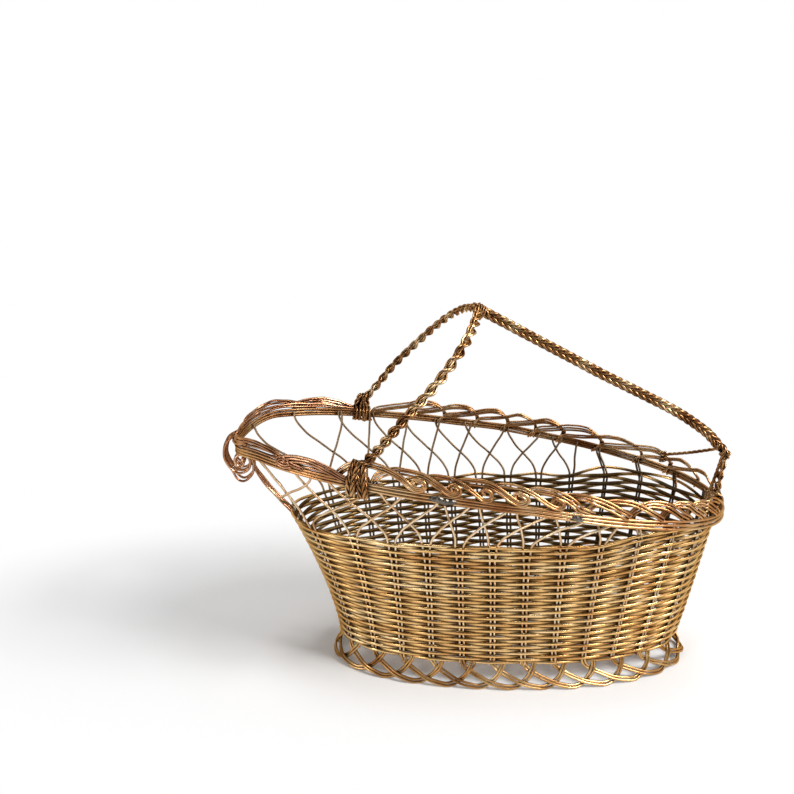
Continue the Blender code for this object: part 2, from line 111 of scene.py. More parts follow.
def rimHeight(x):
    slope = (basket["rimRear"] - basket["rimFront"]) / 2
    bow = (basket["rimRear"] + basket["rimFront"]) / 2 - basket["rimMiddle"]
    part = np.where(x >= 0, x / basket["rim"][1], x / basket["rim"][0])
    reach = basket["rim"][0] - basket["inset"] - basket["lipStart"]
    dip = np.clip((-x - basket["lipStart"]) / reach, 0, 1) ** 2
    return basket["rimMiddle"] + slope * part + bow * part * part - basket["lipDip"] * dip


# Surface of the basket. Share is the way round it, from the rear by the far side to the front and back.
# Level 0 is the table, 1 and 2 are the edges of the weave, and 3 is the rim.
atBase, atTop, atRim = 1.0, 2.0, 3.0


def skin(share, level):
    share, level = np.broadcast_arrays(np.asarray(share, float), np.asarray(level, float))
    foot = onTable(footTable, share)
    base = onTable(baseTable, share)
    top = onTable(topTable, fanned(share))
    rim = onTable(rimTable, fanned(share))
    lift = level[..., None]
    forward = (1 - np.cos(2 * math.pi * share)) / 2
    power = basket["rearFlare"] + (basket["flare"] - basket["rearFlare"]) * forward
    wall = np.clip(level - atBase, 0, 1)
    plan = foot + (base - foot) * np.minimum(lift, 1)
    plan = np.where(lift > atBase, base + (top - base) * (wall ** power)[..., None], plan)
    plan = np.where(lift > atTop, top + (rim - top) * (lift - atTop), plan)
    height = np.minimum(level, 1) * basket["baseHeight"] + wall * weaveTop
    height = height + np.maximum(level - atTop, 0) * (rimHeight(rim[..., 0]) - basket["topHeight"])
    return np.concatenate([plan, height[..., None]], -1)


def unit(rows):
    return rows / np.linalg.norm(rows, axis=-1, keepdims=True)


def roundSkin(share, level):
    return skin(share + nudge["share"], level) - skin(share - nudge["share"], level)


def outward(share, level):
    level = np.asarray(level, float)
    climbWay = skin(share, level + nudge["level"]) - skin(share, np.maximum(level - nudge["level"], 0))
    return unit(np.cross(roundSkin(share, level), climbWay))


def onSkin(share, level, out=0.0):
    return skin(share, level) + outward(share, level) * np.asarray(out, float)[..., None]


def shareOf(length, share, level):
    return length * 2 * nudge["share"] / np.linalg.norm(roundSkin(share, level), axis=-1)


# The rim bundle by its own length: run goes from the rear by the far side to the front and back
def besideShare(share, out=0.0, up=0.0):
    normal = outward(share, np.full(np.shape(share), atRim))
    normal[..., 2] = 0
    place = skin(share, atRim) + unit(normal) * (basket["inset"] + np.asarray(out, float))[..., None]
    place[..., 2] += up
    return place


rimShares = np.linspace(0, 1, rimSteps + 1)
rimPlaces = besideShare(rimShares)
rimRuns = np.concatenate([[0], np.cumsum(np.linalg.norm(np.diff(rimPlaces, axis=0), axis=1))])
rimLength = rimRuns[-1]


def alongRim(run, out=0.0, up=0.0):
    run = np.asarray(run, float)
    share = np.interp(np.mod(run, rimLength), rimRuns, rimShares)
    out = np.broadcast_to(np.asarray(out, float), run.shape)
    up = np.broadcast_to(np.asarray(up, float), run.shape)
    return besideShare(share, out, up)


def rimSpot(run, out, up):
    return alongRim(np.array([run]), out, up)[0]


def rimRun(station, near):
    half = rimSteps // 2
    part = slice(half, rimSteps + 1) if near else slice(0, half + 1)
    return rimRuns[part][np.argmin(np.abs(rimPlaces[part, 0] - station))]


# A smooth line through given places
def smoothPath(places, steps):
    places = np.asarray(places, float)
    line = np.vstack([2 * places[0] - places[1], places, 2 * places[-1] - places[-2]])
    part = np.linspace(0, 1, steps, endpoint=False)[:, None]
    rows = []
    for before, start, end, after in zip(line[:-3], line[1:-2], line[2:-1], line[3:]):
        rows.append((2 * start + (end - before) * part
                     + (2 * before - 5 * start + 4 * end - after) * part ** 2
                     + (3 * start - before - 3 * end + after) * part ** 3) / 2)
    rows.append(places[-1:])
    return np.vstack(rows)


def runAlong(path):
    return np.concatenate([[0], np.cumsum(np.linalg.norm(np.diff(path, axis=0), axis=1))])


# Points at an even distance
def evenPath(path, step):
    run = runAlong(path)
    count = max(2, int(round(run[-1] / step)) + 1)
    goals = np.linspace(0, run[-1], count)
    return np.stack([np.interp(goals, run, path[:, axis]) for axis in range(3)], -1)


# The same, bent smoothly through given places with this many steps from one to the next
def bentPath(places, step, steps=8):
    return evenPath(smoothPath(places, steps), step)


def directions(path, closed=False):
    if closed:
        return unit(np.roll(path, -1, 0) - np.roll(path, 1, 0))
    return unit(np.vstack([path[1:], path[-1:]]) - np.vstack([path[:1], path[:-1]]))


askew = (0.31, 0.22, 0.93)      # a direction in which no wire starts


# Two directions square to the path at each point: they turn as little as they can, or face a given way
def crossFrame(path, facing=None, closed=False):
    way = directions(path, closed)
    if facing is None:
        side = np.empty_like(path)
        here = np.cross(way[0], askew)
        for k, ahead in enumerate(way):
            here = here - ahead * here.dot(ahead)
            here = here / math.sqrt(here.dot(here))
            side[k] = here
    else:
        side = unit(facing - way * np.sum(facing * way, 1, keepdims=True))
    return way, side, np.cross(way, side)


longBasket = (0.35, 1, 0)       # how much a place's x, y and z count for the way out of the basket


# The way out of the basket at each point of a path, near enough to put painted shade on a wire's inner side
def awayFrom(path):
    return unit(path * longBasket)


wireMarks = []                  # middle and volume of every short length of wire
wireTips = {"reach": (0.9, 0.55), "size": (0.42, 0.84)}      # rounded ends, as shares of the radius
inwardShade = {"from": 0.15, "over": 1.1, "clear": 9.0}          # depths over which a wire's colour darkens: painted shade, with some patina; one well clear


# Wire along a path, with rounded ends; where it was pressed flat it is thinner in the facing direction.
# With depth, its place outside the middle of the wall, its inner side darkens toward a near-black: painted
# shade, with some patina.
def wire(path, radius, sides=8, closed=False, facing=None, thin=1.0, depth=None):
    path = np.asarray(path, float)
    way, side, over = crossFrame(path, facing, closed)
    radius = np.broadcast_to(np.asarray(radius, float), (len(path),))
    depth = inwardShade["clear"] if depth is None else depth
    place = np.broadcast_to(np.asarray(depth, float), (len(path),))
    if not closed:
        reach = wireTips["reach"]
        size = np.array(wireTips["size"])
        start = [path[0] - way[0] * radius[0] * share for share in reach]
        end = [path[-1] + way[-1] * radius[-1] * share for share in reach[::-1]]
        path = np.vstack([start, path, end])
        side, over, place = [np.concatenate([rows[:1], rows[:1], rows, rows[-1:], rows[-1:]])
                             for rows in (side, over, place)]
        radius = np.concatenate([radius[0] * size, radius, radius[-1] * size[::-1]])
    turn = 2 * math.pi * np.arange(sides) / sides
    ring = side[:, None] * np.cos(turn)[:, None] * thin + over[:, None] * np.sin(turn)[:, None]
    outer = side[:, None] * np.cos(turn)[:, None] + over[:, None] * np.sin(turn)[:, None]
    step = np.linalg.norm(np.gradient(path, axis=0), axis=1)
    wireMarks.append(np.column_stack([path, math.pi * thin * radius ** 2 * step]))
    points = (path[:, None] + ring * radius[:, None, None]).reshape(-1, 3)
    count = len(path)
    rows = np.arange(count if closed else count - 1)[:, None] * sides
    after = (rows + sides) % (count * sides)
    here = np.arange(sides)
    beside = (here + 1) % sides
    faces = np.stack([rows + here, rows + beside, after + beside, after + here], -1).reshape(-1, 4)
    caps = [] if closed else [list(range(sides))[::-1], list(range((count - 1) * sides, count * sides))]
    # Painted shade: the deeper inside the wall a side of the wire lies, the darker its colour, with some
    # patina
    place = place[:, None] + radius[:, None] * thin * np.cos(turn)
    shadeTarnishAmount = np.clip((inwardShade["from"] - place) / inwardShade["over"], 0, 1).reshape(-1)
    return points, faces, caps, shadeTarnishAmount, outer.reshape(-1, 3)


wobbleWaves = (1.0, 0.61, 0.37)


# Small unevenness of hand work: a smooth wave without a clear rhythm
def wobble(run, size, wave):
    total = np.zeros(np.shape(run))
    for share in wobbleWaves:
        total += np.sin(2 * math.pi * (np.asarray(run) / (wave * share) + dice.random()))
    return total * size / 2


def wobbled(path, size, wave):
    run = runAlong(path)
    return path + np.stack([wobble(run, size, wave) for axis in range(3)], -1)


shadeTarnishPieces = []                  # mesh, points, directions out of the wire and painted inner shade, with patina, of every piece


# Wires of one piece become one mesh in the basket's place
def makePiece(name, wires, finish, nodes):
    points = []
    faces = []
    shadeTarnishAmount = []
    outer = []
    total = 0
    for wirePoints, wireFaces, caps, wireShadeTarnish, wireOut in wires:
        points.append(wirePoints)
        shadeTarnishAmount.append(wireShadeTarnish)
        outer.append(wireOut)
        faces.extend((wireFaces + total).tolist())
        faces.extend([[corner + total for corner in cap] for cap in caps])
        total += len(wirePoints)
    points = np.vstack(points)
    mesh = bpy.data.meshes.new(name)
    mesh.from_pydata(((points + (basketZero, 0, 0)) / metre).tolist(), [], faces)
    mesh.shade_smooth()
    shadeTarnishPieces.append((mesh, points, np.concatenate(outer), np.concatenate(shadeTarnishAmount)))
    mesh.materials.append(finish)
    piece = bpy.data.objects.new(name, mesh)
    bpy.context.scene.collection.objects.link(piece)
    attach(piece, "root")
    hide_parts(*nodes)


def newMaterial(name):
    material = bpy.data.materials.new(name)
    material.use_nodes = True
    return material, material.node_tree


# Inputs of a node: each takes a plain value or what another node puts out
def feed(tree, node, inputs):
    for key, value in inputs.items():
        if isinstance(value, bpy.types.NodeSocket):
            tree.links.new(value, node.inputs[key])
        else:
            node.inputs[key].default_value = value


def addNode(tree, kind, inputs, **settings):
    node = tree.nodes.new("ShaderNode" + kind)
    for setting, value in settings.items():
        setattr(node, setting, value)
    feed(tree, node, inputs)
    return node


metal = {
    "edgeTint": (0.62, 0.46, 0.32, 1.0),
    "tonePlaces": (0.30, 0.50, 0.70),      # of the dark, middle and light tone on the drifting pattern
    "driftDetail": 3.0,
    "polishScale": 160.0,                  # patches per metre
    "polishDetail": 3.0,
    "polishFrom": 0.3,
    "polishTo": 0.7,
    "shadeTarnishRoughness": 0.34,                 # how much rougher the metal is where its painted shade and patina are full
    "markScale": 900.0,
    "markDetail": 2.0,
    "markDepth": 0.0001,
}


# Lacquered wire: tone drifts from place to place, it is painted darker toward the inside tone where shade
# falls, with some patina, and the polish is uneven
def wireMetal(name, tones, patch, roughness, inside=(0.030, 0.011, 0.003), streak=(1, 1, 1), bump=0.015):
    material, tree = newMaterial(name)
    place = addNode(tree, "TexCoord", {}).outputs["Object"]
    stretch = addNode(tree, "Mapping", {"Scale": streak, "Vector": place})
    drift = addNode(tree, "TexNoise", {"Scale": patch, "Detail": metal["driftDetail"],
                                       "Vector": stretch.outputs["Vector"]})
    ramp = addNode(tree, "ValToRGB", {"Fac": drift.outputs["Fac"]})
    ramp.color_ramp.elements.new(metal["tonePlaces"][1])
    for element, position, tone in zip(ramp.color_ramp.elements, metal["tonePlaces"], tones):
        element.position = position
        element.color = (*tone, 1.0)
    # Painted shade, with some patina: the colour is mixed toward the near-black inside tone by this attribute
    shadeTarnishAmount = addNode(tree, "Attribute", {}, attribute_name="shadeTarnishAmount").outputs["Fac"]
    shadeTarnish = addNode(tree, "Mix", {"B": (*inside, 1.0), "Factor": shadeTarnishAmount, "A": ramp.outputs["Color"]},
                      data_type="RGBA")
    polish = addNode(tree, "TexNoise", {"Scale": metal["polishScale"], "Detail": metal["polishDetail"],
                                        "Vector": place})
    spread = addNode(tree, "MapRange", {"From Min": metal["polishFrom"], "From Max": metal["polishTo"],
                                        "To Min": roughness[0], "To Max": roughness[1],
                                        "Value": polish.outputs["Fac"]})
    rough = addNode(tree, "Math", {0: shadeTarnishAmount, 1: metal["shadeTarnishRoughness"], 2: spread.outputs["Result"]},
                    operation="MULTIPLY_ADD")
    marks = addNode(tree, "TexNoise", {"Scale": metal["markScale"], "Detail": metal["markDetail"],
                                       "Vector": place})
    relief = addNode(tree, "Bump", {"Strength": bump, "Distance": metal["markDepth"],
                                    "Height": marks.outputs["Fac"]})
    feed(tree, tree.nodes["Principled BSDF"], {
        "Metallic": 1.0, "Specular Tint": metal["edgeTint"], "Base Color": shadeTarnish.outputs["Result"],
        "Roughness": rough.outputs["Value"], "Normal": relief.outputs["Normal"]})
    return material


# Each has three tones from dark to light, patches per metre, and least and most roughness
weaveGold = wireMetal("weaveGold", [(0.62, 0.31, 0.10), (0.86, 0.53, 0.205), (0.97, 0.70, 0.36)],
                      34, (0.20, 0.31), inside=(0.022, 0.010, 0.003), streak=(1, 1, 5))
stakeGold = wireMetal("stakeGold", [(0.62, 0.37, 0.19), (0.84, 0.59, 0.35), (0.95, 0.79, 0.55)],
                      45, (0.22, 0.32))
footCopper = wireMetal("footCopper", [(0.34, 0.15, 0.045), (0.61, 0.34, 0.125), (0.88, 0.63, 0.30)],
                       55, (0.24, 0.35))
rimRose = wireMetal("rimRose", [(0.36, 0.14, 0.05), (0.64, 0.34, 0.145), (0.88, 0.62, 0.335)],
                    50, (0.24, 0.36))
# The spout's own copper tone is made darker here: a painted dark reflection
spoutCopper = wireMetal("spoutCopper", [(0.25, 0.09, 0.04), (0.47, 0.23, 0.12), (0.74, 0.48, 0.30)],
                        60, (0.20, 0.32))
ropeBronze = wireMetal("ropeBronze", [(0.16, 0.065, 0.024), (0.43, 0.22, 0.088), (0.88, 0.65, 0.37)],
                       90, (0.22, 0.33))
solderGrey = wireMetal("solderGrey", [(0.08, 0.07, 0.06), (0.20, 0.18, 0.15), (0.42, 0.40, 0.36)],
                       160, (0.30, 0.50), bump=0.5)
print("metals mixed")


# The weave: one wire wound 35 times round an odd number of stakes, so it alternates by itself
weave = {
    "turns": 35,
    "wire": 1.92,
    "press": 0.12,        # it is thinner by this share outside a stake, and thicker inside
    "thin": 0.50,         # the weaver is pressed flat against the stakes
    "swing": 0.98,        # how far the wire passes outside or inside the stakes
    "rise": 0.52,         # it sits a little higher outside them than inside
    "flat": -0.04,        # below zero the floats are straighter and bend more sharply at the stakes
    "rearLift": 0.62,     # the upper rows climb toward the rim at the rear, as a share of the way to it
    "liftFrom": 25.0,     # station where that begins
    "liftOver": 55.0,
    "shade": 0.35,        # the rows behind the stakes get painted shade, with some patina, from this far outside the wall's middle
    "samples": 10,        # points from stake to stake
    "edge": 0.97,         # middle of the first and last turn from the edge of the weave
    "uneven": (0.13, 5.3),      # height of its waves, and their length in stake spaces
}
# A second wire locks the lower and the upper edge of the weave
edging = {"low": 0.35, "high": 0.5, "climb": 0.4, "radius": 0.40, "thin": 0.75}


def weavePath(turns, low, high, sign):
    end = turns * stakeCount
    way = np.linspace(0, end, end * weave["samples"] + 1)
    height = np.linspace(low, high, len(way)) + wobble(way, *weave["uneven"])
    turn = math.pi * (way - basket["firstStake"])
    swing = sign * (np.cos(turn) - weave["flat"] * np.cos(3 * turn)) / (1 - weave["flat"])
    share = way / stakeCount
    climb = np.clip((skin(share, atTop)[:, 0] - weave["liftFrom"]) / weave["liftOver"], 0, 1)
    room = skin(share, atRim)[:, 2] - basket["topHeight"]
    height = height + room * weave["rearLift"] * climb * climb * (3 - 2 * climb) * (height / weaveTop) ** 2
    level = np.where(height < weaveTop, atBase + height / weaveTop, atTop + (height - weaveTop) / room)
    normal = outward(share, level)
    path = skin(share, level) + unit(normal * (1, 1, 0)) * (swing * weave["swing"])[:, None]
    path[:, 2] += swing * weave["rise"]
    return path, normal, swing


path, facing, swing = weavePath(weave["turns"], weave["edge"], weaveTop - weave["edge"], 1)
# Where the weaver passes behind the stakes its colour is darkened: painted shade, with some patina
weaver = wire(path, weave["wire"] / 2 * (1 - weave["press"] * swing), facing=facing, thin=weave["thin"],
              depth=swing * weave["swing"] - weave["shade"])
makePiece("weave_wire", [weaver], weaveGold, ["woven_wall"])

# The edge wires get the same painted shade where they pass behind the stakes
edgeWires = []
for height in (edging["low"], weaveTop - edging["high"]):
    path, facing, swing = weavePath(1, height, height + edging["climb"], -1)
    edgeWires.append(wire(path, weave["wire"] * edging["radius"], facing=facing, thin=edging["thin"],
                          depth=swing * weave["swing"]))
makePiece("weave_edges", edgeWires, weaveGold, ["woven_wall"])
print("weave wound")

# Stakes: pairs of wires up through the weave, which part above it and cross on their way to the rim
stakes = {
    "wire": 1.18,
    "halfPair": 0.92,
    "halfPairTop": 1.85,      # the pair opens under the upper edge
    "opening": 8,             # power of its opening: the higher, the later it opens
    "uprightOpening": 0.9,    # upright pairs open less by this share
    "tight": 0.34,            # and stand closer by this share
    "bulge": 0.3,             # the wires bow apart above the weave
    "rearwardLean": 1.75,     # stake spaces
    "forwardLean": 0.15,
    "rimTurn": 0.35,
    "post": 50.0,             # behind this station the stakes stand upright
    "fade": 45.0,
    "layer": 0.9,             # the two layers of the lattice, and how much of that upright pairs keep
    "uprightLayer": 0.3,
    "parting": 3,             # the layers are fully apart after one third of the way up the lattice
    "below": 0.02,            # they start this far under the weave, as a share of its height
    "past": 1.2,              # and end this far beyond the skin's upper edge, inside the bundle
    "wallSteps": 26,
    "topSteps": 18,
    "step": 1.5,
    "uneven": (0.12, 23),     # height and length of their waves
    "depth": 0.25,            # depth inside the wall, which gives their inner side painted shade, with some patina, and more of it when upright
    "uprightDepth": 0.35,
    # leans of some stakes as they were bent by hand: wire toward the first stake, wire away from it
    "own": {6: (1.35, 0.58), 7: (1.38, 0.51), 8: (1.40, 0.50), 9: (1.41, 0.48), 10: (1.38, 0.47),
            11: (1.20, 0.57), 14: (0.05, 2.42), 15: (0.18, 2.33), 16: (0.42, 2.28), 17: (0.16, 2.07),
            18: (-0.58, 1.98), 19: (-0.46, 1.94), 20: (-0.36, 1.81), 21: (-0.25, 1.50), 22: (-0.15, 0.58)},
}


def stakePiece(number):
    share = (basket["firstStake"] + number) / stakeCount
    station = skin(share, atTop)[0]
    upright = min(1.0, max(0.0, (station - stakes["post"] + stakes["fade"]) / stakes["fade"]))
    rearwardTurn = 1 if number >= stakeCount // 2 else -1
    rise = skin(share, atRim) - skin(share, atTop)
    drift = shareOf(rise.dot(unit(roundSkin(share, atRim))), share, (atTop + atRim) / 2)
    wallPart = np.linspace(-stakes["below"], 1, stakes["wallSteps"])
    part = np.linspace(0, 1, stakes["topSteps"] + 1)[1:]
    bend = part * part * (3 - 2 * part)
    opening = (stakes["halfPairTop"] - stakes["halfPair"]) * (1 - stakes["uprightOpening"] * upright)
    pair = stakes["halfPair"] * (1 - stakes["tight"] * upright)
    half = pair + opening * wallPart ** stakes["opening"]
    halfTop = pair + opening + stakes["bulge"] * np.sin(math.pi * part) * (1 - upright)
    layer = stakes["uprightLayer"] + (1 - stakes["uprightLayer"]) * (1 - upright)
    past = 1 + stakes["past"] / np.linalg.norm(rise)
    wires = []
    for turn in (-1, 1):
        lean = stakes["rearwardLean"] if turn == rearwardTurn else stakes["forwardLean"]
        lean = (lean + turn * stakes["rimTurn"]) * (1 - upright)
        if number in stakes["own"]:
            lean = stakes["own"][number][(turn + 1) // 2]
        wallShare = share + turn * shareOf(half, share, atBase + wallPart)
        topShare = share + drift * (bend - part) + turn * (lean * bend / stakeCount
                                                           + shareOf(halfTop, share, atTop + part))
        out = turn * stakes["layer"] * np.minimum(1, stakes["parting"] * part) * layer
        places = np.vstack([onSkin(wallShare, atBase + wallPart), onSkin(topShare, atTop + part * past, out)])
        path = wobbled(bentPath(places, stakes["step"], steps=2), *stakes["uneven"])
        wires.append(wire(path, stakes["wire"] / 2, sides=7, facing=awayFrom(path),
                          depth=-stakes["depth"] - stakes["uprightDepth"] * upright))
    name = str(number).zfill(2)
    makePiece("stake_" + name, wires, stakeGold, ["stake_top_" + name])


for number in range(stakeCount):
    stakePiece(number)
print("stakes set")

# Looped foot: each stake pair runs down and on to the next stakes, then up into the weave
footLoops = {
    "wire": 1.25,
    "pair": 1.32,
    "space": 14.5,            # from stake to stake, near enough for the slope of a bend
    "clear": 0.01,            # the lowest wires clear the table by this much
    "jitter": (0.012, 0.12),  # along, in stake spaces, and out
    "depth": 0.2,             # inside the wall's middle, for painted shade on their inner side
    "step": 1.3,
    # stake spaces from the stake, height, out from the skin
    "bend": [(0.00, 14.5, 0.0), (0.05, 11.5, 0.1), (0.20, 9.0, -0.2), (0.52, 6.2, 0.3), (0.92, 3.4, 1.1),
             (1.28, 1.9, 1.1), (1.58, 1.35, 0.5), (1.86, 2.6, -0.4), (2.08, 5.2, 0.1), (2.24, 8.4, 0.9),
             (2.36, 11.6, 0.3), (2.42, 14.5, -1.5)],
}


def footPiece(number):
    radius = footLoops["wire"] / 2
    bend = np.array(footLoops["bend"])
    slope = np.vstack([bend[1:], bend[-1:]]) - np.vstack([bend[:1], bend[:-1]])
    run = slope[:, 0] * footLoops["space"]
    rise = slope[:, 1]
    length = np.hypot(run, rise)
    wires = []
    for row in (-1, 1):
        aside = -rise / length * row * footLoops["pair"] / 2 / footLoops["space"]
        height = bend[:, 1] + run / length * row * footLoops["pair"] / 2
        height = np.maximum(height, radius + 2 * footLoops["clear"])
        jitter = dice.normal(0, 1, (len(bend), 2)) * footLoops["jitter"]
        share = (basket["firstStake"] + number + bend[:, 0] + aside + jitter[:, 0]) / stakeCount
        over = height - basket["baseHeight"]
        level = np.where(over <= 0, height / basket["baseHeight"], atBase + over / weaveTop)
        path = bentPath(onSkin(share, level, bend[:, 2] + jitter[:, 1]), footLoops["step"], steps=6)
        path[:, 2] = np.maximum(path[:, 2], radius + footLoops["clear"])
        wires.append(wire(path, radius, facing=awayFrom(path), depth=-footLoops["depth"]))
    node = "foot_border_second" if number >= stakeCount // 2 else "foot_border_first"
    makePiece("foot_loop_" + str(number).zfill(2), wires, footCopper, [node])


for number in range(stakeCount):
    footPiece(number)
print("foot looped")

# Woven floor: wires across, and wires along the basket over and under them
flooring = {
    "ribs": 14,
    "rows": 31,
    "tips": 0.97,          # share of the floor's length that the cross wires take up
    "past": 0.2,           # the long wires run on beyond the last of them, in rib spaces
    "wire": 1.12,
    "halfPair": 0.72,
    "swing": 0.84,
    "height": 13.6,
    "inset": 1.6,
    "shortest": 4,         # half length under which a cross wire is left out
    "tightest": 1.18,      # where the rows come closer than this, every second one ends
    "ribUneven": (0.12, 30),      # height and length of their waves
    "rowUneven": (0.12, 40),
    "ribSteps": 12,
    "rowSteps": 230,
}


def floorHalf(x):
    share = np.linspace(0, 0.5, outlineSteps // 4 + 1)
    edge = skin(share, atBase)
    return np.interp(x, edge[::-1, 0], edge[::-1, 1]) - flooring["inset"]


floorMiddle = basket["base"][3]
floorReach = (basket["base"][1] - floorMiddle, basket["base"][0] + floorMiddle)


# Station of a cross wire, which may be a place between two of them
def ribStation(place):
    way = np.sin((2 * place / (flooring["ribs"] - 1) - 1) * math.pi / 2) * flooring["tips"]
    return floorMiddle + np.where(way >= 0, way * floorReach[0], way * floorReach[1])


floorWires = []
for rib in range(flooring["ribs"]):
    station = float(ribStation(rib))
    half = float(floorHalf(station))
    if half < flooring["shortest"]:
        continue
    for aside in (-1, 1):
        run = np.linspace(-half, half, flooring["ribSteps"])
        path = np.stack([np.full(len(run), station + aside * flooring["halfPair"]), run,
                         np.full(len(run), flooring["height"])], -1)
        floorWires.append(wire(wobbled(path, *flooring["ribUneven"]), flooring["wire"] / 2, sides=6))
place = np.linspace(-flooring["past"], flooring["ribs"] - 1 + flooring["past"], flooring["rowSteps"])
station = ribStation(place)
half = floorHalf(station)
for row in range(1, flooring["rows"]):
    part = 2 * row / flooring["rows"] - 1
    pitch = 2 * half / flooring["rows"]
    clear = pitch * (2 if row % 2 else 1) > flooring["tightest"]
    along = station[clear]
    lift = flooring["swing"] * np.cos(math.pi * (place[clear] + row))
    path = np.stack([along, half[clear] * part + wobble(along, *flooring["rowUneven"]),
                     flooring["height"] + lift], -1)
    floorWires.append(wire(path, flooring["wire"] / 2, sides=6))
makePiece("woven_floor", floorWires, weaveGold, ["floor"])
print("floor woven")

# Rim bundle: long wires laid side by side, which drift a little apart and together
rim = {
    "wires": 3,
    "wire": 1.46,
    "pitch": 1.40,
    "drift": 0.20,
    "upWaves": (3, 7, 12, 19),      # waves of the drift on the way round
    "outWaves": (4, 9, 15),
    "wavesStart": 6.28,             # each wave starts at an angle up to this
    "loose": 0.45,                  # the wires stand apart at the rear of the near side
    "loosest": 548.0,
    "looseReach": 70.0,
    "points": 300,
    "depth": 0.25,                  # of the bundle and its arcs, for painted shade on their inner side
}


def ringWaver(angle, waves):
    return sum(np.sin(angle * times + dice.random() * rim["wavesStart"]) for times in waves) / len(waves)


for number in range(rim["wires"]):
    run = np.linspace(0, rimLength, rim["points"], endpoint=False)
    angle = 2 * math.pi * run / rimLength
    loose = np.clip(1 - np.abs(run - rim["loosest"]) / rim["looseReach"], 0, 1)
    apart = rim["pitch"] * (1 + rim["loose"] * loose)
    up = (number - 1) * apart + rim["drift"] * ringWaver(angle, rim["upWaves"])
    out = rim["drift"] * ringWaver(angle, rim["outWaves"])
    path = alongRim(run, out, up)
    ring = wire(path, rim["wire"] / 2, closed=True, facing=awayFrom(path), depth=rim["depth"])
    makePiece("rim_wire_" + str(number), [ring], rimRose, ["rim_ring_" + str(number)])
print("rim laid")

# Arcs over the rim: each rises from behind the bundle, passes over its neighbour and comes down.
# The first ones behind the near leg end in an open curl, and the others behind the bundle.
chain = {
    "wire": 1.13,
    "pitch": 1.20,
    "unevenPitch": 0.10,
    "nearCrests": [391.5, 408, 424, 438, 453, 470, 485.5, 507, 525, 540, 552, 564],
    "nearRows": [3, 3, 2, 3, 2, 3, 3, 2, 3, 3, 3, 2],
    "farRows": [3, 3, 3, 2, 3, 3, 2, 3, 2, 2],
    "farTies": [206, 186, 166, 147, 130, 114, 98.5, 77.0, 54.5, 37.4, 21.0, 6.0],
    "curled": 5,          # this many near arcs are curled
    "lastShorter": 3,     # places that the last near arc lacks
    "stagger": 2.6,       # the wires of an arc end one after the other
    "behind": 0.25,       # its second wire lies this much further in
    "jitter": (0.018, 0.16, 0.10),      # along in arc spaces, up and out
    "uneven": (0.16, 19),               # height and length of their waves
    "step": 0.9,
    # place in arc spaces from the crest, height over the middle of the bundle, out from it
    "curl": [(-0.99, 0.4, -1.6), (-0.93, 2.6, -2.0), (-0.80, 5.4, -2.3), (-0.57, 7.9, -2.5),
             (-0.28, 9.2, -2.5), (0.02, 9.6, -2.2), (0.31, 9.3, -1.7), (0.56, 8.3, -1.1), (0.77, 6.9, -0.4),
             (0.94, 5.4, 0.3), (1.09, 4.1, 0.8), (1.25, 3.3, 1.0), (1.40, 3.7, 0.9), (1.48, 5.1, 0.5),
             (1.42, 6.5, 0.1), (1.29, 7.1, -0.2), (1.17, 6.7, -0.4), (1.14, 5.7, 0.0), (1.24, 5.0, 0.9)],
    "gather": [1.00, 1.06, 1.12, 1.00, 0.80, 0.55],      # how far apart its wires stand on the way
    "tuck": [(-0.94, -0.6, -1.5), (-0.86, 2.4, -2.0), (-0.66, 6.0, -2.4), (-0.34, 8.7, -2.5),
             (0.00, 9.4, -2.2), (0.30, 8.8, -1.5), (0.58, 7.2, -0.6), (0.82, 5.3, 0.2), (1.02, 3.7, 0.3),
             (1.20, 2.2, -0.4), (1.33, 0.8, -1.5)],
    "spread": [1.00, 1.00, 1.42, 1.25],       # the wires of such an arc part where it comes down
    # place in tie spaces from the tie where the arc starts
    "far": [(-0.10, -1.5, -1.4), (-0.04, 1.2, -1.9), (0.12, 3.2, -1.5), (0.50, 4.6, -1.6),
            (0.95, 6.9, -2.0), (1.22, 8.5, -2.2), (1.50, 9.4, -2.3), (1.76, 8.9, -2.2), (1.97, 7.4, -1.8),
            (2.07, 5.2, -1.0), (2.09, 2.4, 0.9), (2.07, -0.4, 1.2), (2.02, -2.2, 0.4)],
}


def arcWires(marks, first, bend, rows, spread):
    marks = np.asarray(marks, float)
    beyond = marks[-1] + (marks[-1] - marks[-2]) * np.arange(1, 4)
    marks = np.concatenate([[2 * marks[0] - marks[1]], marks, beyond])
    index = np.arange(len(marks)) - 1.0
    bend = np.array(bend) + dice.normal(0, 1, (len(bend), 3)) * chain["jitter"]
    places = np.stack([np.interp(first + bend[:, 0], index, marks), bend[:, 1], bend[:, 2]], -1)
    line = bentPath(places, chain["step"], steps=6)
    way = directions(line)
    close = np.interp(np.linspace(0, 1, len(line)), np.linspace(0, 1, len(spread)), spread)
    wires = []
    for row in range(rows):
        uneven = 1 + chain["unevenPitch"] * dice.normal()
        shift = (row - (rows - 1) / 2) * chain["pitch"] * uneven * close
        run = line[:, 0] - way[:, 1] * shift
        up = line[:, 1] + way[:, 0] * np.sign(marks[1] - marks[0]) * shift
        out = line[:, 2] + wobble(run, *chain["uneven"]) - chain["behind"] * (row % 2)
        path = alongRim(run, out, up)
        path = path[:len(path) - int(chain["stagger"] * ((row + first) % 3) / chain["step"])]
        wires.append(wire(path, chain["wire"] / 2, facing=awayFrom(path), depth=rim["depth"]))
    return wires


crests = chain["nearCrests"]
for number in range(len(crests)):
    bend, spread = ("curl", "gather") if number < chain["curled"] else ("tuck", "spread")
    bend = chain[bend]
    if number == len(crests) - 1:
        bend = bend[:-chain["lastShorter"]]
    arc = arcWires(crests, number, bend, chain["nearRows"][number], chain[spread])
    makePiece("rim_arc_near_" + str(number).zfill(2), arc, rimRose, ["rim_chain_near"])
for number, rows in enumerate(chain["farRows"]):
    arc = arcWires(chain["farTies"], number, chain["far"], rows, chain["gather"])
    makePiece("rim_arc_far_" + str(number).zfill(2), arc, rimRose, ["rim_chain_far"])
print("rim arcs bent")

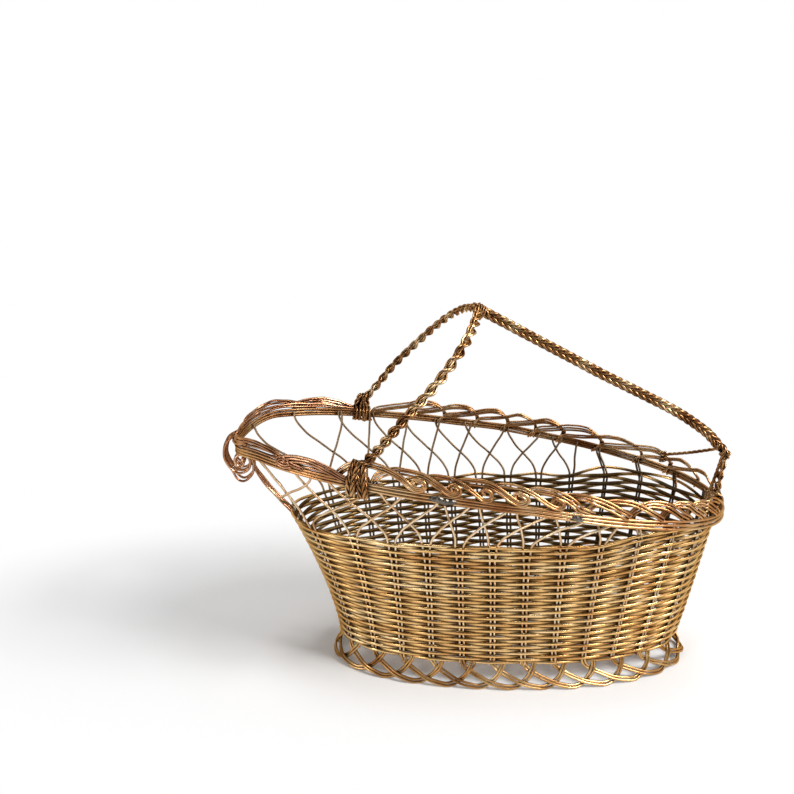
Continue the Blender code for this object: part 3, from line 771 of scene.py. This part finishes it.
# Spout: two wires on the bundle round the lip, and arcs from the lashings that hook into them
spout = {
    "wire": 1.30,
    "nearLeg": rimRun(basket["legs"], True),
    "farLeg": rimRun(basket["legs"], False),
    "rows": [(3.1, 0.1), (4.6, -0.3)],      # height over the bundle's middle, out from it
    "fromLeg": 3.0,                         # the rows start this far from the legs, at this height
    "start": 2.0,
    "ease": 9,                              # and reach their own height in one ninth of the way
    "swells": [(0.35, 34, 1), (0.25, 57, 2)],
    "swellOut": 0.2,
    "swellUp": 0.5,
    "noseOver": 24,                         # at the lip the second row makes room for the scroll
    "noseOut": 1.7,
    "noseDown": 1.6,
    "points": 130,
    "step": 1.0,
    "uneven": (0.14, 26),                   # height and length of its waves
    "hookRows": (3, 1.25),                  # wires side by side, and their pitch
    "arcRows": (2, 1.30),
    # distance from the leg, height over the bundle's middle, out from it
    "hook": [(2.0, 1.0, 1.2), (7.0, 2.5, 1.3), (14.0, 4.8, 1.1), (22.0, 6.2, 0.8), (29.0, 5.7, 0.8),
             (34.5, 4.7, 1.1), (37.6, 3.4, 1.4), (37.4, 1.9, 1.6), (34.6, 1.5, 1.5), (31.8, 2.5, 1.3)],
    "arc": [(26.0, 2.2, 1.0), (31.0, 3.0, 1.2), (36.0, 4.6, 0.9), (44.0, 6.2, 0.3), (54.0, 6.7, 0.0),
            (64.0, 6.3, 0.0), (74.0, 5.6, -0.1)],
}
for number, (up, out) in enumerate(spout["rows"]):
    part = np.linspace(0, 1, spout["points"])
    run = np.linspace(spout["farLeg"] + spout["fromLeg"], spout["nearLeg"] - spout["fromLeg"], len(part))
    ease = np.minimum(1, np.minimum(part, 1 - part) * spout["ease"])
    swell = sum(size * np.sin(part * wave + times * number) for size, wave, times in spout["swells"])
    nose = np.clip(1 - np.abs(run - rimLength / 2) / spout["noseOver"], 0, 1) ** 0.5 * number
    out = out + spout["swellOut"] * swell + spout["noseOut"] * nose
    up = spout["start"] + (up - spout["start"]) * ease + spout["swellUp"] * swell - spout["noseDown"] * nose
    name = "spout_wire_" + str(number)
    makePiece(name, [wire(alongRim(run, out, up), spout["wire"] / 2)], spoutCopper, [name])


def spoutArcs(leg, turn, bend, rows, pitch):
    line = bentPath(bend, spout["step"])
    way = directions(line)
    wires = []
    for row in range(rows):
        shift = (row - (rows - 1) / 2) * pitch
        along = line[:, 0] - way[:, 1] * shift
        path = alongRim(leg + turn * along, line[:, 2], line[:, 1] + way[:, 0] * shift)
        wires.append(wire(wobbled(path, *spout["uneven"]), spout["wire"] / 2))
    return wires


for name, leg, turn in (("near", spout["nearLeg"], -1), ("far", spout["farLeg"], 1)):
    for kind in ("hook", "arc"):
        arcs = spoutArcs(leg, turn, spout[kind], *spout[kind + "Rows"])
        makePiece("spout_" + kind + "s_" + name, arcs, spoutCopper, ["spout_wire_1"])

# Scroll: wires of the spout leave the bundle's top at the lip and roll down and in under it
scroll = {
    "wire": 1.22,
    "pieces": 3,                                  # its wires are dealt out to this many pieces
    "step": 0.9,
    "asides": [-4.0, -2.4, -0.8, 0.8, 2.4, 4.0],
    "runs": [27.0, 19.0, 12.0, 7.0],              # they lie on the bundle this far from the lip's middle
    "out": 0.2,
    "up": 4.5,
    "stack": 0.25,
    "middle": (-138.4, 108.5),
    "grow": (0.05, 2.1),                          # the rolls differ in size by this share, in this rhythm
    "narrow": 0.9,                                # they are drawn together a little at their first places
    "narrowOver": 2,
    "over": [(-139.2, 121.3), (-142.6, 119.3), (-144.9, 115.2), (-145.3, 110.3), (-143.5, 105.4),
             (-140.0, 102.3), (-136.1, 102.0), (-133.3, 104.3), (-132.8, 108.0), (-134.8, 111.1),
             (-138.1, 111.4), (-140.3, 109.2), (-139.9, 106.3), (-137.5, 105.2), (-135.9, 106.9),
             (-136.8, 108.7)],
    "long": (1, 4),                               # these hang lower, in a loose loop
    "hangFrom": 4,                                # their places from this one on are moved
    "hang": [(1.2, -1.6), (0.4, -4.0), (0.0, -4.6), (1.2, -3.0), (0.6, 0.0), (0.0, 1.0)],
    "nose": [(-112.6, 79.0), (-115.6, 82.6), (-121.2, 89.0), (-127.6, 97.4), (-131.6, 105.0),
             (-134.2, 112.0), (-135.4, 117.0)],
    "noseAsides": [-1.7, 0.0, 1.7],
    "noseSpread": (1.5, 0.8),                     # the wires of the nose draw together toward its end
    "noseStep": 1.0,
    "uneven": (0.14, 26),                         # height and length of its waves
    "noseUneven": (0.16, 30),
}


def rolledWire(number, aside):
    side = 1 if aside < 0 else -1
    up = scroll["up"] + scroll["stack"] * number % 1
    start = [rimSpot(rimLength / 2 + side * run, scroll["out"], up) for run in scroll["runs"]]
    size, rhythm = scroll["grow"]
    over = (np.array(scroll["over"]) - scroll["middle"]) * (1 + size * math.sin(rhythm * number))
    over = over + scroll["middle"]
    if number in scroll["long"]:
        over = over[:scroll["hangFrom"] + len(scroll["hang"])]
        over[scroll["hangFrom"]:] += scroll["hang"]
    across = np.interp(np.arange(len(over)), [0, scroll["narrowOver"]], [scroll["narrow"], 1.0])
    places = np.vstack([start, np.stack([over[:, 0], aside * across, over[:, 1]], -1)])
    path = bentPath(places, scroll["step"], steps=6)
    return wire(wobbled(path, *scroll["uneven"]), scroll["wire"] / 2)


def noseWire(aside):
    nose = np.array(scroll["nose"])
    spread = np.linspace(*scroll["noseSpread"], len(nose))
    path = bentPath(np.stack([nose[:, 0], aside * spread, nose[:, 1]], -1), scroll["noseStep"], steps=6)
    return wire(wobbled(path, *scroll["noseUneven"]), scroll["wire"] / 2)


scrollWires = [rolledWire(number, aside) for number, aside in enumerate(scroll["asides"])]
scrollWires += [noseWire(aside) for aside in scroll["noseAsides"]]
for number in range(scroll["pieces"]):
    makePiece("scroll_" + str(number), scrollWires[number::scroll["pieces"]], spoutCopper,
              ["spout_scroll_" + str(number)])
print("spout rolled")

# Handle: two legs and a plaited rope that meet in the crown
handle = {
    "crown": (-21.4, 0.0, 183.0),
    "crownHalf": 2.6,                       # the legs meet the crown this far to each side
    "ropeEnd": (100.0, 0.0, 113.5),
    # along from foot to crown, up, aside from the crown toward the foot, all as shares
    "legBends": [(0.14, 0.18, 1.04), (0.28, 0.335, 1.05), (0.425, 0.475, 1.02), (0.565, 0.605, 0.96),
                 (0.67, 0.705, 0.88), (0.78, 0.81, 0.74), (0.86, 0.885, 0.57), (0.93, 0.95, 0.34),
                 (1.0, 1.0, 0.0)],
    # along from crown to end, and down, as shares
    "ropeBends": [(0.0, 0.0), (0.12, 0.112), (0.25, 0.233), (0.37, 0.344), (0.49, 0.456), (0.60, 0.552),
                  (0.70, 0.64), (0.783, 0.714), (0.85, 0.782), (0.913, 0.857), (0.957, 0.917), (1.0, 1.0)],
    "nearLeg": {"strandReach": 1.36, "wireReach": 0.68, "radius": 0.57,
                "lays": [10.0, 11.0, 13.0, 15.5, 16.0, 14.0]},
    "farLeg": {"strandReach": 1.16, "wireReach": 0.62, "radius": 0.52,
               "lays": [12.5, 12.5, 12.5, 12.5, 11.5, 10.5]},
    "legCore": 0.62,
    "legTurn": -0.7,                        # the wires turn in their strands the other way, and slower
    "legStart": 0.6,
    "legSeat": (-1.2, 4.0),                 # out and up from the bundle
    "legRise": (0.3, 3.2),                  # the foot lies this far over the seat, the wires' start over it
    "cordWire": 1.32,
    "cordReach": 0.75,                      # distance of a wire from its cord's middle
    "cordApart": 1.29,                      # distance of a cord from the rope's middle
    "cordLay": 11.4,
    "cordCore": 0.42,                       # radius of the wire inside a cord
    "plaitCore": 0.50,                      # and of the one between the cords
    "ropeStart": 2,                         # place of the rope where its plait starts
    "step": 0.8,
    "fineStep": 0.7,                        # distance of points on its short wires
}
crown = np.array(handle["crown"])
ropeEnd = np.array(handle["ropeEnd"])


# Strands of wires laid round each other. The reaches are the distances of a strand from the path and of
# a wire from its strand's middle; the lay, the length of a turn, may change along the way.
def twisted(path, strands, wires, strandReach, wireReach, radius, lays, sides=7, hand=1, start=0.0,
            ownTurn=1.0, depth=None):
    way, side, over = crossFrame(path)
    run = runAlong(path)
    lay = np.interp(run / run[-1], np.linspace(0, 1, len(lays)), lays)
    angle = start + hand * 2 * math.pi * np.concatenate([[0], np.cumsum(np.diff(run) / lay[1:])])
    tubes = []
    for strand in range(strands):
        turn = (angle + 2 * math.pi * strand / strands)[:, None]
        middle = path + (side * np.cos(turn) + over * np.sin(turn)) * strandReach
        for number in range(wires):
            own = turn * ownTurn + 2 * math.pi * number / wires
            line = middle + (side * np.cos(own) + over * np.sin(own)) * wireReach
            tubes.append(wire(line, radius, sides, depth=depth))
    return tubes


# Two cords of three wires side by side, twisted in opposite hands, so that their wires meet in chevrons
def twoCords(path, facing):
    way = directions(path)
    across = unit(np.cross(way, facing))
    through = unit(np.cross(across, way))
    angle = 2 * math.pi * runAlong(path) / handle["cordLay"]
    tubes = []
    for side in (-1, 1):
        for strand in range(3):
            turn = (angle + 2 * math.pi * strand / 3)[:, None]
            reach = np.cos(turn) * handle["cordReach"] + handle["cordApart"]
            middle = path + across * side * reach + through * np.sin(turn) * handle["cordReach"]
            tubes.append(wire(middle, handle["cordWire"] / 2))
        tubes.append(wire(path + across * side * handle["cordApart"], handle["cordCore"], sides=6))
    tubes.append(wire(path, handle["plaitCore"], sides=6))
    return tubes


# Turns of wire wound round a line
def wound(path, reach, turns, radius, sides=7, start=0.0):
    way, side, over = crossFrame(path)
    run = runAlong(path)
    angle = (start + 2 * math.pi * turns * run / run[-1])[:, None]
    reach = np.broadcast_to(reach, len(path))[:, None]
    return wire(path + (side * np.cos(angle) + over * np.sin(angle)) * reach, radius, sides)


# Reach of turns that swell toward the middle of a line
def swollen(path, least, more):
    run = runAlong(path)
    return least + more * np.sin(math.pi * run / run[-1])


ropeLine = [crown + (ropeEnd - crown) * (reach, 0, fall) for reach, fall in handle["ropeBends"]]
ropePath = bentPath(ropeLine, handle["step"])
ropeWay = directions(ropePath)
makePiece("handle_rope", twoCords(ropePath[handle["ropeStart"]:], (0, 1, 0)), ropeBronze,
          ["handle_top_rope"])

# Lashings: turns round the bundle, and ends of wire that hang over it
lashes = {
    "turns": 5,
    "halfLength": 4.6,
    "out": -1.1,
    "up": 0.3,
    "halfOut": 3.0,
    "halfUp": 3.7,
    "wire": 1.15,
    "steps": 24,                                 # points of a turn
    "tail": 0.56,                                # radius of the ends
    "plaits": [(-2.4, -4.0), (2.5, -4.6)],       # place along the rim and height of their ends
    # share of the place along, out and up, on the way over the bundle
    "plaitBends": [(0.75, 1.3, 5.6), (1.0, 2.7, 1.2), (1.15, 2.2, None)],
    "plaitStart": (0.25, 3.0),                   # forward by this share of the place along, and up
    "plaitTurn": (0, 0, 0.8),                    # their flat side faces out and a little up
    "inner": [(-3.4, -1.5), (-0.4, -2.1), (2.8, -2.7)],
    "innerBends": [(0.5, -2.6, 5.2), (1.0, -4.1, None)],
    "innerStart": (0.6, 2.0),                    # apart, and up
    "rear": [(-4.6, -5.9), (-2.9, -6.7), (-1.2, -7.3), (0.7, -7.7), (2.5, -6.9), (4.2, -6.1)],
    "rearBends": [(0.3, 0.7, 4.6), (0.5, 1.5, 0.6), (0.7, 0.9, None)],
    "rearSway": [-0.4, 0.3, 0.0],                # every second one sways out by this on its way
    "rearSeat": (-1.0, 4.2),
    "rearStart": (0.4, 4.5),
}


def saddleTurns(run):
    angle = np.linspace(0, 2 * math.pi * lashes["turns"], lashes["steps"] * lashes["turns"]) - math.pi / 2
    along = np.linspace(-lashes["halfLength"], lashes["halfLength"], len(angle))
    out = lashes["out"] + lashes["halfOut"] * np.cos(angle)
    up = lashes["up"] + lashes["halfUp"] * np.sin(angle)
    return wire(alongRim(run + along, out, up), lashes["wire"] / 2, sides=7)


# Line of an end of wire from its start over the bundle, down to its own height
def tailLine(start, run, along, low, bends, sways=(0.0, 0.0, 0.0)):
    places = [start]
    for (share, out, up), sway in zip(bends, sways):
        places.append(rimSpot(run + along * share, out + sway, low if up is None else up))
    return bentPath(places, handle["fineStep"])


def legPiece(name, near):
    turn = -1 if near else 1
    run = rimRun(basket["legs"], near)
    over, above = handle["legRise"]
    foot = rimSpot(run, *handle["legSeat"]) + (0, 0, over)
    head = crown + (0, turn * handle["crownHalf"], 0)
    bends = [foot + (0, 0, above)]
    for reach, climb, spread in handle["legBends"]:
        bends.append((foot[0] + (head[0] - foot[0]) * reach, head[1] + (foot[1] - head[1]) * spread,
                      foot[2] + (head[2] - foot[2]) * climb))
    path = bentPath(bends, handle["step"])
    wires = twisted(path, strands=2, wires=3, hand=-turn, start=handle["legStart"],
                    ownTurn=handle["legTurn"], **handle[name + "Leg"])
    wires.append(wire(path, handle["legCore"], sides=7))
    makePiece("handle_leg_" + name, wires, ropeBronze, ["handle_leg_" + name])
    # Foot of the leg: two plaits hang over the rim outside, three wires inside, with turns round them
    start = (path[0] + path[1]) / 2
    tails = []
    ahead, up = lashes["plaitStart"]
    for along, low in lashes["plaits"]:
        # on both sides they lean toward the rear, as the leg does
        line = tailLine(start + (ahead * along, 0, up), run, along * -turn, low, lashes["plaitBends"])
        tails += twoCords(line, awayFrom(line) + lashes["plaitTurn"])
    apart, up = lashes["innerStart"]
    for number, (along, low) in enumerate(lashes["inner"]):
        line = tailLine(start + (apart * (number - 1), 0, up), run, along, low, lashes["innerBends"])
        tails.append(wire(line, lashes["tail"], sides=7))
    makePiece("lashing_" + name + "_turns", [saddleTurns(run)] + tails, ropeBronze,
              ["lashing_" + name])


legPiece("near", True)
legPiece("far", False)

# Crown: turns that gather the legs and the rope
crownTurns = {
    "wire": 1.05,
    "turns": 4.5,
    "reach": (2.45, 0.30),      # of the turns, least and more toward their middle
    "half": 3.4,                # they start and end this far from the rope's first place
    "short": 1.2,
    "points": 60,
    "step": 0.25,
    "core": {"strands": 3, "wires": 2, "strandReach": 1.0, "wireReach": 0.5, "radius": 0.5, "lays": [12.0]},
    "coreEnd": 8,               # place of the rope where the core ends
}
start = ropePath[0] - ropeWay[0] * crownTurns["half"]
crownLine = np.linspace(start + ropeWay[0] * crownTurns["short"],
                        ropePath[0] + ropeWay[0] * crownTurns["half"], crownTurns["points"])
crownLine = evenPath(crownLine, crownTurns["step"])
reach = swollen(crownLine, *crownTurns["reach"])
crownWires = [wound(crownLine, reach, crownTurns["turns"], crownTurns["wire"] / 2, sides=8)]
coreLine = bentPath([start, ropePath[0], ropePath[crownTurns["coreEnd"]]], handle["fineStep"])
crownWires += twisted(coreLine, **crownTurns["core"])
makePiece("crown_turns", crownWires, ropeBronze, ["crown_wrap"])

# Rear end: the rope is bound, turns down and goes to the rear of the rim as a twist
knot = {
    "length": 7.2,
    "before": 1.0,
    "wire": 1.12,
    "turns": 1.8,
    "starts": (0.0, 0.33, 0.67),      # parts of a turn
    "reach": (1.9, 0.35),
    "points": 50,
    "core": {"strands": 3, "wires": 2, "strandReach": 0.95, "wireReach": 0.5, "radius": 0.5, "lays": [14.0]},
    "coreBefore": 2,
    "corePoints": 12,
}
dropRope = {
    "back": 2.4,                # it starts this far inside the knot
    "places": [(103.9, 108.6), (103.5, 104.0), (102.7, 98.0), (102.2, 92.0), (102.0, 87.4)],
    "twist": {"strands": 2, "wires": 2, "strandReach": 0.80, "wireReach": 0.50, "radius": 0.52,
              "lays": [10.5, 11.0, 11.5], "start": 1.0},
    "core": 0.5,
}
knotWay = unit(ropePath[-1] - ropePath[-2])
knotStart = ropePath[-1]
knotEnd = knotStart + knotWay * knot["length"]
knotLine = np.linspace(knotStart - knotWay * knot["before"], knotEnd, knot["points"])
reach = swollen(knotLine, *knot["reach"])
knotWires = [wound(knotLine, reach, knot["turns"], knot["wire"] / 2, sides=8, start=start)
             for start in knot["starts"]]
coreLine = np.linspace(knotStart - knotWay * knot["coreBefore"], knotEnd + knotWay, knot["corePoints"])
knotWires += twisted(evenPath(coreLine, handle["fineStep"]), **knot["core"])
makePiece("rear_knot_turns", knotWires, ropeBronze, ["rear_knot"])

dropPlaces = [knotEnd - knotWay * dropRope["back"]] + [(x, 0.0, z) for x, z in dropRope["places"]]
dropPath = bentPath(dropPlaces, handle["fineStep"])
dropWires = twisted(dropPath, **dropRope["twist"])
dropWires.append(wire(dropPath, dropRope["core"], sides=7))
makePiece("drop_twist", dropWires, ropeBronze, ["drop_rope"])

rearSeat = rimSpot(0.0, *lashes["rearSeat"])
apart, up = lashes["rearStart"]
rearTails = []
for number, (along, low) in enumerate(lashes["rear"]):
    start = rearSeat + (0.0, apart * (number - (len(lashes["rear"]) - 1) / 2), up)
    sways = [sway * (number % 2) for sway in lashes["rearSway"]]
    line = tailLine(start, 0.0, along, low, lashes["rearBends"], sways)
    rearTails.append(wire(line, lashes["tail"], sides=7))
makePiece("lashing_rear_turns", [saddleTurns(0.0)] + rearTails, ropeBronze, ["lashing_rear"])

# Stays of three thin wires from the knot to the top of the rim arcs
stays = {
    "station": 85.0,
    "out": -2.4,
    "up": 8.6,
    "head": (3.3, 2.6),         # along the knot, and aside
    "sag": 0.5,
    "step": 0.6,
    "twist": {"strands": 3, "wires": 1, "strandReach": 0.48, "wireReach": 0.0, "radius": 0.42, "lays": [9.9],
              "sides": 6},
    "nearDepth": 0.5,           # the near stay gets painted shade
    "tie": (2.2, 4.2),          # its turns at the rim start over its foot and end under it
    "tiePoints": 48,
    "tieTurns": {"reach": 1.5, "turns": 3.6, "radius": 0.50},
}
for name, near in (("far", False), ("near", True)):
    turn = -1 if near else 1
    foot = rimSpot(rimRun(stays["station"], near), stays["out"], stays["up"])
    head = knotStart + knotWay * stays["head"][0] + (0, turn * stays["head"][1], 0)
    middle = (foot + head) / 2 - (0, 0, stays["sag"])
    path = bentPath([head, middle, foot], stays["step"], steps=12)
    wires = twisted(path, depth=-stays["nearDepth"] if near else None, **stays["twist"])
    tieLine = np.linspace(foot + (0, 0, stays["tie"][0]), foot - (0, 0, stays["tie"][1]), stays["tiePoints"])
    wires.append(wound(tieLine, **stays["tieTurns"]))
    makePiece("stay_twist_" + name, wires, ropeBronze, ["stay_" + name])
print("handle tied")

# Soldered places on the near side of the bundle
solder = {
    "marks": [(423.5, 11.0, 1.9), (484.0, 5.0, 1.5)],      # place along the rim, length, radius
    "points": 24,
    "sides": 12,
    "ends": 0.45,               # radius at the ends, as a share
    "fullness": 0.6,            # power: the lower, the blunter its ends
    "lumps": (0.12, 23),        # size and rhythm of its lumps
    "out": (0.15, 0.1, 9),      # place out and up, with the size and rhythm of their waves
    "up": (-0.2, 0.35, 7),
}


def solderMark(middle, length, size):
    part = np.linspace(0, 1, solder["points"])
    run = np.linspace(middle - length / 2, middle + length / 2, len(part))
    lump, rhythm = solder["lumps"]
    radius = solder["ends"] + (1 - solder["ends"]) * np.sin(math.pi * part) ** solder["fullness"]
    radius = size * radius * (1 + lump * np.sin(part * rhythm))
    out, up = [place + wave * np.sin(part * pace) for place, wave, pace in (solder["out"], solder["up"])]
    return wire(alongRim(run, out, up), radius, solder["sides"])


blobs = [solderMark(*mark) for mark in solder["marks"]]
makePiece("solder_marks", blobs, solderGrey, ["rim_ring_1"])
print("solder run in")

# Pale paper under the basket, which rises behind it; lengths in metres
stage = {
    "size": 3.2,
    "back": 1.5,
    "rise": 2.2,
    "bend": 0.6,
    "bendSteps": 12,
    "tone": (0.93, 0.93, 0.93, 1),
    "roughness": 0.9,
    "gloss": 0.1,
    # outside an oval round the basket and its shadow the paper turns to plain white
    "fadeShift": (0.02, -0.14, 0.0),
    "fadeScale": (1.3, 3.2, 1.0),
    "fade": (0.22, 0.44),
    "paleness": 0.06,
}


# Far from the basket the paper fades to plain white, as the camera and the gloss see it
def palePaper():
    paper, tree = newMaterial("palePaper")
    shader = tree.nodes["Principled BSDF"]
    feed(tree, shader, {"Base Color": stage["tone"], "Roughness": stage["roughness"],
                        "Specular IOR Level": stage["gloss"]})
    place = addNode(tree, "TexCoord", {}).outputs["Object"]
    reach = addNode(tree, "Mapping", {"Location": stage["fadeShift"], "Scale": stage["fadeScale"],
                                      "Vector": place})
    length = addNode(tree, "VectorMath", {0: reach.outputs["Vector"]}, operation="LENGTH")
    fade = addNode(tree, "MapRange", {"From Min": stage["fade"][0], "From Max": stage["fade"][1],
                                      "To Min": stage["paleness"], "Value": length.outputs["Value"]},
                   interpolation_type="SMOOTHSTEP")
    ray = addNode(tree, "LightPath", {}).outputs
    seen = ray["Is Camera Ray"]
    for kind in ("Is Glossy Ray", "Is Transmission Ray"):
        seen = addNode(tree, "Math", {0: seen, 1: ray[kind]}, operation="MAXIMUM").outputs["Value"]
    amount = addNode(tree, "Math", {0: fade.outputs["Result"], 1: seen}, operation="MULTIPLY")
    white = addNode(tree, "Emission", {"Color": (1, 1, 1, 1), "Strength": 1.0})
    mix = addNode(tree, "MixShader", {"Fac": amount.outputs["Value"], 1: shader.outputs["BSDF"],
                                      2: white.outputs["Emission"]})
    feed(tree, tree.nodes["Material Output"], {"Surface": mix.outputs["Shader"]})
    return paper


def stagePiece():
    turning = stage["back"] - stage["bend"]
    profile = [(-stage["size"], 0.0), (turning, 0.0)]
    for step in range(1, stage["bendSteps"] + 1):
        angle = math.pi / 2 * step / stage["bendSteps"]
        profile.append((turning + stage["bend"] * math.sin(angle), stage["bend"] * (1 - math.cos(angle))))
    profile.append((stage["back"], stage["rise"]))
    points = []
    for y, z in profile:
        points += [(-stage["size"], y, z), (stage["size"], y, z)]
    faces = [(2 * k, 2 * k + 1, 2 * k + 3, 2 * k + 2) for k in range(len(profile) - 1)]
    mesh = bpy.data.meshes.new("stage_floor")
    mesh.from_pydata(points, [], faces)
    mesh.shade_smooth()
    mesh.materials.append(palePaper())
    floor = bpy.data.objects.new("stage_floor", mesh)
    bpy.context.scene.collection.objects.link(floor)


stagePiece()

# Soft studio light: a panel at the right front, a strip at the left front, a weak panel above
lamps = {
    "key": {"at": (0.95, -0.50, 0.92), "size": (0.46, 0.46), "power": 20.0},
    "strip": {"at": (-0.85, -0.75, 0.55), "size": (0.20, 0.8), "power": 4.2},
    "top": {"at": (0.10, 0.15, 1.35), "size": (0.45, 0.45), "power": 4.6},
}
lampsAim = (0.0, 0.0, 0.09)
room = {"tone": (0.50, 0.50, 0.50, 1), "strength": 0.16}


def lampPiece(name, at, size, power):
    light = bpy.data.lights.new(name, "AREA")
    light.shape = "RECTANGLE"
    light.size, light.size_y = size
    light.energy = power
    lamp = bpy.data.objects.new(name, light)
    bpy.context.scene.collection.objects.link(lamp)
    aim = np.array(lampsAim) - at
    flat = math.hypot(aim[0], aim[1])
    lamp.location = at
    lamp.rotation_euler = (math.atan2(flat, -aim[2]), 0.0, math.atan2(-aim[0], aim[1]))


for name, lamp in lamps.items():
    lampPiece(name, **lamp)

world = bpy.data.worlds.new("room")
bpy.context.scene.world = world
world.use_nodes = True
world.node_tree.nodes["Background"].inputs["Color"].default_value = room["tone"]
world.node_tree.nodes["Background"].inputs["Strength"].default_value = room["strength"]

# Camera at the photograph's angle
view = {"at": (-67.46, -419.76, 267.9), "lens": 40.81, "sensor": 36.0, "down": 73.0, "turn": -0.97}
camera = bpy.data.cameras.new("camera")
camera.lens = view["lens"]
camera.sensor_width = view["sensor"]
eye = bpy.data.objects.new("camera", camera)
bpy.context.scene.collection.objects.link(eye)
eye.location = (np.array(view["at"]) + (basketZero, 0, 0)) / metre
eye.rotation_euler = (math.radians(view["down"]), 0.0, math.radians(view["turn"]))
bpy.context.scene.camera = eye
bpy.context.scene.view_settings.view_transform = "Standard"
print("stage lit")

# Painted shade where wires lie close together, standing for the shade in the crevices between them, with some
# patina: how full the space is a little way out of each point
shadeTarnish = {"cell": 0.8, "reach": 1.3, "from": 0.14, "to": 0.39, "margin": 5, "inner": 0.92}


def tarnishPieces():
    marks = np.concatenate(wireMarks)
    low = marks[:, :3].min(0) - shadeTarnish["margin"]
    size = ((marks[:, :3].max(0) + shadeTarnish["margin"] - low) / shadeTarnish["cell"]).astype(int) + 1
    cells = ((marks[:, :3] - low) / shadeTarnish["cell"]).astype(int)
    full = np.bincount(np.ravel_multi_index(tuple(cells.T), size), marks[:, 3], int(size.prod()))
    full = full.reshape(size) / shadeTarnish["cell"] ** 3
    for axis in (0, 1, 2) * 2:
        full = full / 2 + (np.roll(full, 1, axis) + np.roll(full, -1, axis)) / 4
    for mesh, points, outer, shadeTarnishAmount in shadeTarnishPieces:
        place = (points + outer * shadeTarnish["reach"] - low) / shadeTarnish["cell"] - 0.5
        cell = np.floor(place).astype(int)
        part = place - cell
        amount = np.zeros(len(points))
        for corner in range(8):
            step = np.array([corner & 1, corner >> 1 & 1, corner >> 2])
            weight = np.prod(np.where(step, part, 1 - part), axis=1)
            amount += weight * full[tuple(np.clip(cell + step, 0, size - 1).T)]
        amount = np.clip((amount - shadeTarnish["from"]) / (shadeTarnish["to"] - shadeTarnish["from"]), 0, 1)
        # The painted shade on inner sides is joined to the painted crevice shade
        amount = 1 - (1 - amount * amount * (3 - 2 * amount)) * (1 - shadeTarnish["inner"] * shadeTarnishAmount)
        mesh.attributes.new("shadeTarnishAmount", "FLOAT", "POINT").data.foreach_set("value", amount)


tarnishPieces()
print("tarnish rubbed in")
